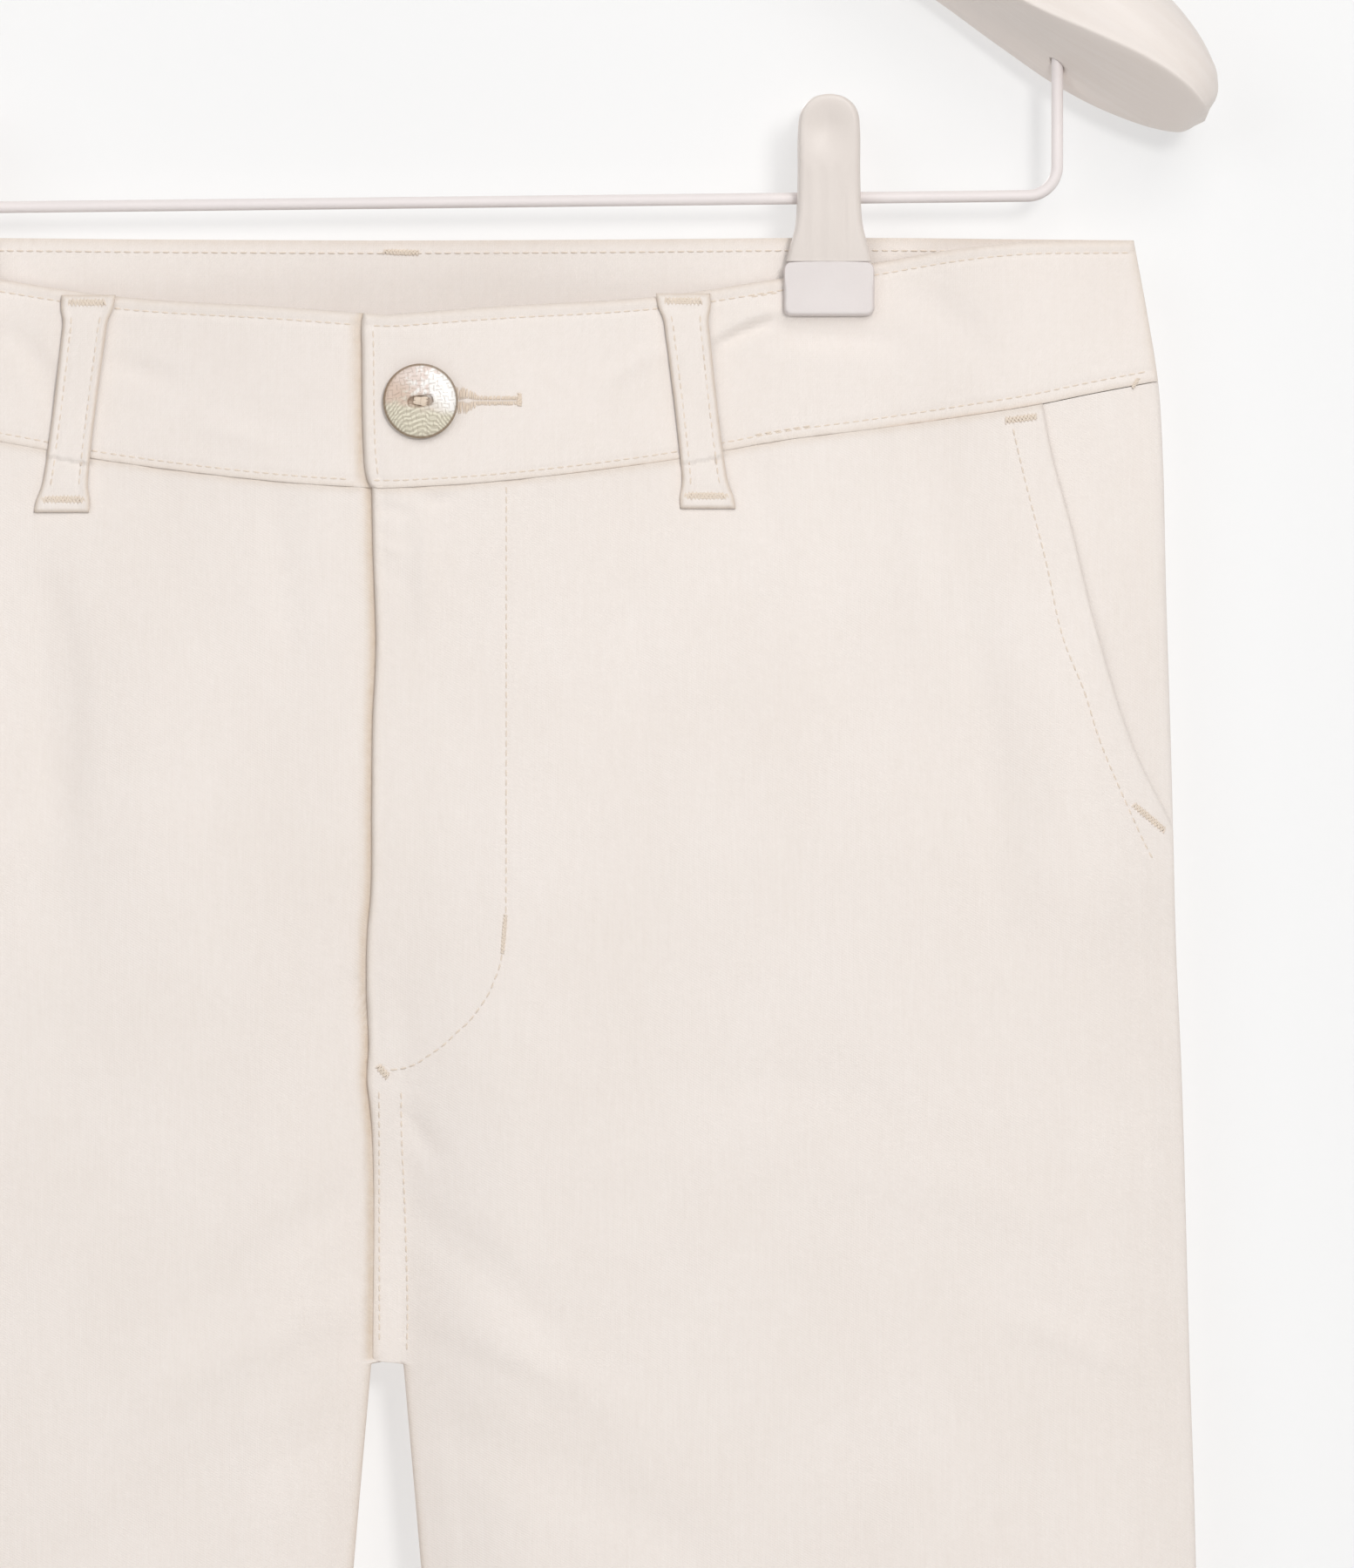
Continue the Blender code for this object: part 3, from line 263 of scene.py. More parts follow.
@dataclass
class Garment:
    """The cut of the chinos and the surface they hang on."""

    hook_above_waist: float = 215.0
    crotch: float = 301.0
    hem: float = 1041.0
    front_seam_x: float = -4.0
    gap: float = 0.04
    middle_gap: float = 0.15
    panel_wall: float = 1.2
    band_wall: float = 2.0
    fly_bottom: float = 222.0
    fly_stitch_x: float = 31.0
    clip_x: float = 118.0
    clip_half: float = 15.0
    pinched: float = 0.35
    front_bow: float = 11.0
    back_bow: float = 4.5
    seam_reach: float = 32.0
    fly_rise: float = 2.2
    pocket_rise: float = 1.7
    pocket_end: float = 157.0
    facing_width: float = 10.0
    tab_rise: float = 2.4
    underlap_x: float = 24.0
    front_top: Curve = Curve(
        (0, 20.9), (27, 18.8), (73.5, 15.6), (106, 10.7), (131.6, 6.5), (152.6, 3),
        (171, 1.2), (187.4, 0.9), (206, 0.7))
    front_seam: Curve = Curve(
        (0, 67.3), (27, 65.6), (73.5, 59.9), (106, 54.2), (131.6, 51), (152.6, 48.1),
        (171, 45.3), (187.4, 41.9), (206, 38.3))
    back_top: Curve = Curve(
        (0, 0.6), (60, 0.4), (120, 0), (171, 0.3), (190, 0.6), (206, 0.7))
    back_seam: Curve = Curve(
        (0, 45), (60, 45), (120, 44.6), (171, 43.2), (190, 40.8), (206, 38.3))
    side_x: Curve = Curve(
        (0, 199.3), (20, 203), (39, 206), (58, 207.2), (95, 208.1), (140, 209.5),
        (188, 210.7), (225, 212.3), (301, 214.4), (340, 215.7), (600, 220.9),
        (1041, 231))
    inseam_x: Curve = Curve(
        (301, 4.3), (355, 9), (700, 37.5), (1041, 66))
    pocket_edge: Curve = Curve(
        (40, 174.2), (56, 177), (76.5, 182.4), (107, 189.9), (138, 200),
        (157, 209.7))
    full_front: Curve = Curve(
        (0, 12), (150, 12), (301, 10.5), (500, 10), (750, 9.5), (1041, 10.5))
    full_back: Curve = Curve(
        (0, 11), (150, 12.5), (301, 11.5), (500, 10.5), (750, 10.5), (1041, 11))
    fly_edge: Curve = Curve(
        (66, -3.9), (83, -3.6), (100, -3), (108, -2.8), (120, -3.2), (127, -3.6),
        (150, -3.9), (176, -4.2), (184, -5), (196, -5.4), (208, -5.1), (216, -4.8),
        (225, -5.3), (232, -4.5), (240, -3.9), (300, -3.85))
    tab_edge: Curve = Curve(
        (20, -5.9), (22, -6.5), (30, -6.55), (56, -6.1), (62.5, -5.6), (66, -4.6),
        (68, -3))
    j_stitch: Rows = (
        (31.9, 66.5), (31.9, 100.0), (31.9, 140.0), (31.8, 180.0), (31.4, 187.0), (30.2, 194.3),
        (28.6, 198.6), (27.0, 202.3), (23.7, 207.1), (21.4, 209.9), (18.6, 212.3), (16.2, 214.7),
        (13.7, 216.7), (10.9, 218.6), (7.7, 220.7), (4.2, 221.9), (0.9, 222.3))

    def top(self, side: Side, x: Array) -> Array:
        """Depth of the waistband's upper edge."""
        return (self.front_top if side is F else self.back_top)(np.abs(x))

    def seam(self, side: Side, x: Array) -> Array:
        """Depth of the seam under the waistband."""
        return (self.front_seam if side is F else self.back_seam)(np.abs(x))

    def pocket_x(self, depth: Array) -> Array:
        """Half-width of the front panel: the slanted pocket edge, then the side seam."""
        side = self.side_x(depth)
        return np.where(depth >= self.pocket_end, side, np.minimum(self.pocket_edge(depth), side))

    def waist_fullness(self, side: Side, x: Array, depth: Array) -> Array:
        """Bow of the waist between the clips, flat under each, slightly full beside it.

        Args:
            side: front or back.
            x: places across.
            depth: their depths.

        Returns:
            Distances in millimetres.
        """
        reach = np.abs(x)
        inner, outer = self.clip_x - self.clip_half, self.clip_x + self.clip_half
        bow = self.front_bow if side is F else self.back_bow
        middle = self.pinched + bow * np.cos(0.5 * np.pi * clamp(reach / inner)) ** 2
        share = clamp((reach - outer) / (self.side_x(depth) - outer))
        beside = self.pinched * (1 - share) + 4 * np.sin(np.pi * share) ** 2
        return np.where(reach <= outer, middle, beside)

    def hip_fullness(self, side: Side, x: Array, depth: Array) -> Array:
        """Lens-shaped fullness of the hips and of each leg, closing at the seams.

        Args:
            side: front or back.
            x: places across.
            depth: their depths.

        Returns:
            Distances in millimetres.
        """
        outer = np.sin(0.5 * np.pi * clamp((self.side_x(depth) - np.abs(x)) / self.seam_reach))
        inner = np.sin(0.5 * np.pi * clamp((np.abs(x) - self.inseam_x(depth)) / self.seam_reach))
        closing = smooth((depth - 150.0) / (self.crotch - 154.0))
        folds = sum(fold.rise(x, depth) for fold in FOLDS if fold.side is side)
        full = (self.full_front if side is F else self.full_back)(depth)
        return outer * (1.0 - closing * (1.0 - inner)) * (full + folds)

    def fullness(self, side: Side, x: Array, depth: Array) -> Array:
        """How far the plain panel's inner face stands off the middle plane."""
        share = smooth((depth - 23.0) / 149.0)
        return lerp(self.waist_fullness(side, x, depth), self.hip_fullness(side, x, depth), share)

    def point(self, side: Side, x: Array, depth: Array, outward: Array) -> Array:
        """Points of the garment in metres, moved outward from the plain panel's inner face.

        Args:
            side: front or back.
            x: places across.
            depth: their depths.
            outward: how far they lie outside that face.

        Returns:
            Points in metres.
        """
        y = side.value * (self.middle_gap + self.fullness(side, x, depth) + outward)
        x, y, depth = np.broadcast_arrays(x, y, depth)
        return np.stack([x, y, -self.hook_above_waist - depth], axis=-1) * MM

    def fly_lift(self, x: Array, depth: Array) -> Array:
        """How far the fly's layers carry the right front outward."""
        across = fade(x - self.fly_stitch_x, 0.0, 60.0)
        return self.fly_rise * across * fade(depth - self.fly_bottom, -4.0, 44.0)

    def pocket_lift(self, x: Array, depth: Array) -> Array:
        """How far the pocket facing carries the front panel outward."""
        across = fade(self.pocket_x(depth) - np.abs(x) - self.facing_width, 3.0, 42.0)
        return self.pocket_rise * across * fade(depth - 165.0, 4.0, 28.0)

    def tab_lift(self, x: Array) -> Array:
        """How far the left waistband's underlap carries the right one outward."""
        return self.tab_rise * fade(x - self.underlap_x, 5.0, 46.0)

    def ripple(self, side: Side, x: Array, depth: Array) -> Array:
        """Slow unevenness of hanging cloth, never quite flat.

        Args:
            side: front or back.
            x: places across.
            depth: their depths.

        Returns:
            Heights in millimetres.
        """
        turn = 0.0 if side is F else 1.9
        wide = np.sin(x / 17.3 + 1.3 * np.sin(depth / 41.0 + turn) + turn)
        tall = np.sin(depth / 23.7 + 1.1 * np.sin(x / 33.0 - turn) + 0.6)
        fine = np.sin(x / 6.1 + 0.9 * np.sin(depth / 13.0)) * np.sin(depth / 9.7 + x / 21.0 + turn)
        return 0.2 * wide * tall + 0.05 * fine

    def puckers(self, side: Side, x: Array, depth: Array) -> Array:
        """Small gathers where the sewing draws the panel in.

        Args:
            side: front or back.
            x: places across.
            depth: their depths.

        Returns:
            Heights in millimetres.
        """
        below = depth - self.seam(side, x)
        beat = np.sin(x / 1.9 + 1.4 * np.sin(x / 7.7)) + 0.6 * np.sin(x / 3.7 + 2.0)
        waist = 0.14 * beat * np.exp(-clamp(below, 0.0, 90.0) / 6.5)
        edge = self.side_x(depth) - np.abs(x)
        knots = np.sin(depth / 2.6 + 1.7 * np.sin(depth / 11.0)) + 0.5 * np.sin(depth / 5.3)
        side_seam = 0.13 * knots * np.exp(-clamp(edge, 0.0, 90.0) / 5.0)
        hem = self.hem - depth
        rope = np.sin((x + 0.8 * depth) / 2.3 + np.sin(x / 9.0))
        return waist + side_seam + 0.16 * rope * bell(hem - 16.0, 9.0)

    def seam_strip(self, side: Side, x: Array, depth: Array) -> Array:
        """Steps over folded seam allowances, at the sides, centre seams and hem.

        Args:
            side: front or back.
            x: places across.
            depth: their depths.

        Returns:
            Heights in millimetres.
        """
        edge = self.side_x(depth) - np.abs(x)
        low = smooth((depth - 160.0) / 14.0) if side is F else 1.0
        total = 0.32 * fade(edge, 9.0, 2.6) * low
        inner = np.abs(x) - self.inseam_x(depth)
        total = total + 0.3 * fade(inner, 9.0, 2.6) * smooth((depth - self.crotch - 6.0) / 8.0)
        centre = self.front_seam_x if side is F else 0.0
        from_seam = x - centre
        rise = smooth((from_seam + 3.0) / 2.0) * fade(from_seam, 8.2, 2.6)
        start = self.fly_bottom + 2.0 if side is F else 40.0
        rise = rise * smooth((depth - start) / 6.0) * fade(depth, self.crotch - 5.0, 5.0)
        fold = 0.35 * fade(self.hem - depth, 22.0, 3.0)
        return total + 0.4 * rise + fold

    def fly_ridge(self, x: Array, depth: Array) -> Array:
        """The fly's own relief: a rolled edge, a groove beside it and the sewn-down layers.

        Args:
            x: places across.
            depth: their depths.

        Returns:
            Heights in millimetres.
        """
        down = 1.0 - smooth((depth - 218.0) / 12.0)
        edge = x - self.fly_edge(depth)
        roll = 0.3 * bell(edge - 1.1, 0.9) - 0.28 * bell(edge - 2.7, 0.8)
        bend = clamp((depth - 183.0) / 40.0)
        line = 31.9 * np.sqrt(1.0 - clamp(bend * bend, 0.0, 0.999))
        past = x - line
        layer = 0.16 * fade(past, 1.0, 3.0) - 0.2 * bell(past, 0.8)
        return down * (roll + layer)

    def pocket_ridge(self, x: Array, depth: Array) -> Array:
        """Rolled pocket edge with a groove at its stitching.

        Args:
            x: places across.
            depth: their depths.

        Returns:
            Heights in millimetres.
        """
        inside = self.pocket_x(depth) - np.abs(x)
        on = fade(depth, 154.0, 8.0)
        gape = 0.9 * bell(inside - 0.6, 1.6) * bell(depth - 107.0, 7.0) * (x > 0)
        return gape + on * (0.1 * bell(inside - 1.4, 1.0) - 0.14 * bell(inside - 9.4, 1.0)
                            + 0.1 * fade(inside, 10.5, 4.0))

    def panel_top(self, side: Side, x: Array, depth: Array) -> Array:
        """Outer face of a leg panel, away from its edges.

        Args:
            side: front or back.
            x: places across.
            depth: their depths.

        Returns:
            Heights in millimetres.
        """
        total = self.panel_wall + self.ripple(side, x, depth) + self.puckers(side, x, depth)
        total = total + self.seam_strip(side, x, depth)
        total = total + 0.55 * np.exp(-clamp(depth - self.seam(side, x), 0.0, 90.0) / 5.0)
        total = total + sum(c.rise(x, depth) for c in PANEL_CREASES if c.side is side)
        if side is F:
            right = x > self.fly_edge(depth) - 0.4
            fly = self.fly_lift(x, depth) + self.fly_ridge(x, depth)
            pocket = self.pocket_lift(x, depth) + self.pocket_ridge(x, depth)
            total = total + np.where(right, np.maximum(fly, pocket), pocket)
        return total

    def panel_base(self, side: Side, x: Array, depth: Array) -> Array:
        """Inner face of a leg panel: it follows the slow part of the outer one."""
        total = self.panel_top(side, x, depth) - self.panel_wall
        return total - 0.5 * (self.puckers(side, x, depth) + self.seam_strip(side, x, depth))

    def band_top(self, side: Side, x: Array, depth: Array) -> Array:
        """Outer face of a waistband, away from its edges.

        Args:
            side: front or back.
            x: places across.
            depth: their depths.

        Returns:
            Heights in millimetres.
        """
        down = depth - self.top(side, x)
        up = self.seam(side, x) - depth
        grooves = 0.3 * bell(down - 3.3, 0.85) + 0.3 * bell(up - self.low_row(x), 0.85)
        pull = np.sin(x / 1.3 + np.sin(x / 5.1)) * (bell(down - 3.3, 3.2) + bell(up - 2.4, 3.2))
        wave = 0.14 * np.sin(x / 9.0 + 1.5 * np.sin(depth / 14.0)) * np.sin(depth / 11.0 + 0.7)
        slack = 0.25 * np.sin(x / 21.0 + 0.8) * np.sin(np.pi * clamp(down / (down + up + 1e-6)))
        creases = sum(c.rise(x, depth) for c in BAND_CREASES if c.side is side)
        roll = 0.16 * bell(down - 1.4, 1.3) + 0.16 * bell(up - 1.0, 0.9)
        total = self.band_wall - grooves + 0.07 * pull + wave + slack + creases + roll
        if side is B:
            return total
        edge = x - self.tab_edge(depth)
        tab = self.tab_lift(x) + 0.25 * bell(edge - 1.0, 0.9) - 0.3 * bell(edge - 3.2, 0.8)
        return total + np.where(edge > -0.4, tab, 0.0)

    def low_row(self, x: Array) -> Array:
        """Height of the lower stitch row above the waistband's seam."""
        return lerp(2.0, 3.1, smooth((np.abs(x) - 60.0) / 120.0))


@dataclass(frozen=True)
class Layer:
    """One face of a piece of cloth that sewing lies on."""

    garment: Garment
    side: Side
    height: PairReader
    facing: float = 1.0

    def points(self, x: Array, depth: Array, above: float = 0.0) -> Array:
        """Places on the layer in metres, a little above it."""
        outward = self.height(x, depth) + self.facing * above
        return self.garment.point(self.side, x, depth, outward)

    def normals(self, x: Array, depth: Array) -> Array:
        """Unit directions away from the layer.

        Args:
            x: places across.
            depth: their depths.

        Returns:
            Unit vectors.
        """
        across = self.points(x + 0.5, depth) - self.points(x - 0.5, depth)
        down = self.points(x, depth + 0.5) - self.points(x, depth - 0.5)
        normal = np.cross(across, down)
        normal = np.where(normal[..., 1:2] * self.side.value * self.facing < 0, -normal, normal)
        return normal / np.linalg.norm(normal, axis=-1, keepdims=True)


class Shaper:
    """Makes shells, tubes, rods and repeated shapes from bmesh operators."""

    def finish(self, mesh: bmesh.types.BMesh, name: str, sharp: float = 60.0) -> Thing:
        """Turn a bmesh into a smoothly shaded object at the origin.

        Args:
            mesh: the finished shape in metres, which is freed.
            name: the object's name.
            sharp: edges steeper than this angle in degrees stay sharp.

        Returns:
            The new object, linked to the scene.
        """
        bmesh.ops.recalc_face_normals(mesh, faces=mesh.faces[:])
        data = bpy.data.meshes.new(name)
        mesh.to_mesh(data)
        mesh.free()
        data.shade_smooth()
        data.set_sharp_from_angle(angle=math.radians(sharp))
        thing = bpy.data.objects.new(name, data)
        bpy.context.scene.collection.objects.link(thing)
        return thing

    def shell(self, name: str, columns: int, rows: int,
              place: Callable[[Array, Array, Array], Tuple[Array, Array]]) -> Thing:
        """Make a closed thin shell from a doubled grid.

        Args:
            name: the object's name.
            columns: cells across.
            rows: cells down.
            place: gives the points in metres, and the tint amount of each for wear and painted
                shade, from the columns, the rows and whether each point is on the outer face.

        Returns:
            The new object, with the tint for wear and painted shade kept as an attribute.
        """
        mesh = bmesh.new()
        bmesh.ops.create_grid(mesh, x_segments=columns, y_segments=rows, size=0.5)
        grown = bmesh.ops.extrude_face_region(mesh, geom=mesh.faces[:])
        lifted = [part for part in grown["geom"] if isinstance(part, bmesh.types.BMVert)]
        bmesh.ops.translate(mesh, vec=(0.0, 0.0, 1.0), verts=lifted)
        flat = np.array([vert.co for vert in mesh.verts])
        column = np.rint((flat[:, 0] + 0.5) * columns).astype(int)
        row = np.rint((flat[:, 1] + 0.5) * rows).astype(int)
        points, wear_and_painted_shade = place(column, row, flat[:, 2] > 0.5)
        layer = mesh.verts.layers.float.new("wear_and_painted_shade")
        for vert, point, worn_and_shaded in zip(mesh.verts, points, wear_and_painted_shade):
            vert.co = point
            vert[layer] = worn_and_shaded
        return self.finish(mesh, name)

    def tube(self, name: str, around: int, along: int,
             place: PairReader, sharp: float = 60.0) -> Thing:
        """Make a closed tube from a rolled grid, with filled ends.

        Args:
            name: the object's name.
            around: cells round each ring.
            along: cells from ring to ring.
            place: gives points in metres from the share round the ring and the ring's index.
            sharp: edges steeper than this angle in degrees stay sharp.

        Returns:
            The new object.
        """
        mesh = bmesh.new()
        bmesh.ops.create_grid(mesh, x_segments=around, y_segments=along, size=0.5)
        flat = np.array([vert.co for vert in mesh.verts])
        turn = np.rint((flat[:, 0] + 0.5) * around).astype(int) % around
        row = np.rint((flat[:, 1] + 0.5) * along).astype(int)
        for vert, point in zip(mesh.verts, place(turn / around, row)):
            vert.co = point
        bmesh.ops.remove_doubles(mesh, verts=mesh.verts[:], dist=1e-7)
        rims = [edge for edge in mesh.edges if edge.is_boundary]
        if rims:
            bmesh.ops.holes_fill(mesh, edges=rims, sides=0)
        return self.finish(mesh, name, sharp)

    def repeat(self, mesh: bmesh.types.BMesh, frames: Array) -> None:
        """Repeat a mesh's one shape, once for each frame.

        Args:
            mesh: a bmesh that holds the shape in its own unit space.
            frames: for each copy its three axes and its centre, in metres.
        """
        packed = bpy.data.meshes.new("unit")
        mesh.to_mesh(packed)
        mesh.clear()
        mesh.from_mesh(packed)
        bpy.data.meshes.remove(packed)
        unit = np.array([vert.co for vert in mesh.verts])
        sizes = [len(mesh.verts), len(mesh.edges), len(mesh.faces)]
        copies = 1
        while copies < len(frames):
            more = min(copies, len(frames) - copies)
            parts = [mesh.verts[:], mesh.edges[:], mesh.faces[:]]
            geom = [part for group, size in zip(parts, sizes) for part in group[:size * more]]
            bmesh.ops.duplicate(mesh, geom=geom)
            copies += more
        points = unit @ frames[:, :3] + frames[:, 3:]
        for vert, point in zip(mesh.verts, points.reshape(-1, 3)):
            vert.co = point

    def rod(self, name: str, path: Array, radius: float, around: int = 20) -> Thing:
        """Make a round bar along a path in the garment's middle plane.

        Args:
            name: the object's name.
            path: places (x, z) in millimetres.
            radius: the bar's radius in millimetres.
            around: cells round the bar.

        Returns:
            The new object.
        """
        run = np.gradient(path, axis=0)
        run /= np.linalg.norm(run, axis=1, keepdims=True)
        aside = np.stack([-run[:, 1], run[:, 0]], axis=1)

        def place(turn: Array, row: Array) -> Array:
            """Place the rings' points.

            Args:
                turn: each point's share round its ring.
                row: its ring.

            Returns:
                Points in metres.
            """
            angle = 2.0 * np.pi * turn
            flat = path[row] + aside[row] * (radius * np.cos(angle))[:, None]
            return np.stack([flat[:, 0], radius * np.sin(angle), flat[:, 1]], axis=1) * MM

        return self.tube(name, around, len(path) - 1, place)


@dataclass
class Workshop:
    """Fixes each finished piece to the frame and gives it its finish."""

    shaper: Shaper = field(default_factory=Shaper)
    finishes: Dict[str, Material] = field(default_factory=dict)
    count: int = 0

    def add(self, thing: Thing, finish: str, slot: str, *nodes: str) -> Thing:
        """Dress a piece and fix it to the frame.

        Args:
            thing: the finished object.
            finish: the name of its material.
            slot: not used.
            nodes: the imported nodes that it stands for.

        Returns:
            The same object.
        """
        thing.data.materials.clear()
        thing.data.materials.append(self.finishes[finish])
        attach(thing, "root")
        if nodes:
            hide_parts(*nodes)
        self.count += 1
        faces = len(thing.data.polygons)
        LOG.info("piece %s: %d faces, %s", thing.name, faces, finish)
        return thing


@dataclass
class Maker:
    """Makes the pieces of one kind."""

    garment: Garment
    shop: Workshop


class Sewing:
    """Thread laid on one layer of cloth, strand by strand, in one mesh."""

    def __init__(self, layer: Layer, seed: int = 3) -> None:
        """Start an empty mesh.

        Args:
            layer: the face of cloth the thread lies on.
            seed: where the small unevenness of the stitches starts.
        """
        self.layer = layer
        self.frames: List[Array] = []
        self.chance = np.random.default_rng(seed)

    def strands(self, starts: Array, ends: Array, radius: float, above: float) -> None:
        """Add strands between places (x, depth) on the layer.

        Args:
            starts: where each strand begins.
            ends: where each strand ends.
            radius: half the strands' thickness in millimetres.
            above: how high their middles lie above the layer.
        """
        begin = self.layer.points(starts[:, 0], starts[:, 1], above)
        run = 0.5 * (self.layer.points(ends[:, 0], ends[:, 1], above) - begin)
        middle = 0.5 * (starts + ends)
        aside = np.cross(self.layer.normals(middle[:, 0], middle[:, 1]), run)
        aside *= radius * MM / np.linalg.norm(aside, axis=1, keepdims=True)
        up = np.cross(run, aside)
        up *= radius * MM / np.linalg.norm(up, axis=1, keepdims=True)
        self.frames.append(np.stack([aside, up, run, begin + run], axis=1))

    def row(self, xs: Array, depths: Array, pitch: float = 2.6, dash: float = 1.9,
            radius: float = 0.23, above: float = 0.06) -> None:
        """Sew a row of stitches along a smooth line.

        Args:
            xs: places across that the line runs through.
            depths: their depths.
            pitch: distance from one stitch to the next.
            dash: length of a stitch that shows.
            radius: the thread's radius.
            above: how high its middle lies above the cloth.
        """
        path = np.array(np.broadcast_arrays(xs, depths), dtype=float)
        index = np.arange(path.shape[1], dtype=float)
        fine = np.linspace(0.0, index[-1], 40 * len(index))
        xs, depths = (Curve(*zip(index, values))(fine) for values in path)
        points = self.layer.points(xs, depths)
        steps = np.linalg.norm(np.diff(points, axis=0), axis=1) / MM
        length = np.append(0.0, np.cumsum(steps))
        begin = np.arange(0.2, length[-1] - dash, pitch)
        begin = begin + self.chance.uniform(-0.06, 0.06, len(begin))
        aside = self.chance.uniform(-0.05, 0.05, (len(begin), 2))
        starts, ends = (np.stack([np.interp(at, length, xs), np.interp(at, length, depths)], axis=1)
                        for at in (begin, begin + dash))
        self.strands(starts + aside, ends - aside, radius, above)

    def tack(self, start: Tuple[float, float], end: Tuple[float, float], width: float,
             pitch: float = 0.5) -> None:
        """Sew a bar tack: tight slanting strands over a few long ones.

        Args:
            start: one end (x, depth) of the bar.
            end: its other end.
            width: how wide the bar is.
            pitch: distance between strands.
        """
        first, last = np.array(start, dtype=float), np.array(end, dtype=float)
        run = last - first
        length = float(np.hypot(*run))
        unit = run / length
        aside = np.array([-unit[1], unit[0]]) * 0.5 * width
        steps = np.arange(0.0, length, pitch)
        centres = first + unit * steps[:, None]
        ragged = self.chance.uniform(0.78, 1.1, (len(steps), 1))
        lean = unit * 0.9 * pitch * np.where(np.arange(len(steps)) % 2, 1.0, -0.4)[:, None]
        self.strands(centres - aside * ragged - lean, centres + aside * ragged + lean, 0.27, 0.22)
        for share in (-0.5, 0.0, 0.5):
            shift = aside * share
            self.strands((first + shift)[None], (last + shift)[None], 0.3, 0.02)

    def finish(self, shop: Workshop, name: str, finish: str = "thread") -> Thing:
        """Turn the thread into a piece.

        Args:
            shop: where pieces are finished.
            name: its name.
            finish: the name of its material.

        Returns:
            The finished piece.
        """
        mesh = bmesh.new()
        bmesh.ops.create_uvsphere(mesh, u_segments=6, v_segments=5, radius=1.0)
        shop.shaper.repeat(mesh, np.concatenate(self.frames))
        return shop.add(shop.shaper.finish(mesh, name), finish, "thread")


def grade(*stops: Tuple[float, int]) -> Array:
    """Spread positions between stops.

    Args:
        stops: pairs of a stop and the number of cells from the stop before it.

    Returns:
        The positions, from 0 to the last stop.
    """
    parts = [np.array([0.0])]
    for stop, cells in stops:
        parts.append(np.linspace(parts[-1][-1], stop, cells + 1)[1:])
    return np.concatenate(parts)


def spread(near: Array, cells: int, far: Array) -> Tuple[Array, Array, Array]:
    """Lay grid lines between two graded edges.

    Args:
        near: distances of the first lines from the first edge.
        cells: how many equal cells lie between the graded parts.
        far: distances of the last lines from the last edge, from that edge inward.

    Returns:
        For each line its distance from the first edge, from the last, and its share between.
    """
    first = np.concatenate([near, np.full(cells - 1 + len(far), near[-1])])
    last = np.concatenate([np.full(cells - 1 + len(near), far[-1]), far[::-1]])
    share = np.concatenate([np.zeros(len(near)), np.arange(1, cells) / cells, np.ones(len(far))])
    return first, last, share


def rounding(edge: Array, radius: float = 1.2, least: float = 0.22) -> Array:
    """Share of a wall's thickness near a rounded edge."""
    left = 1.0 - clamp(edge / radius)
    return least + (1.0 - least) * np.sqrt(1.0 - left * left)


RIM = ((0.25, 1), (0.6, 1), (1.1, 1), (1.8, 1), (2.7, 1))


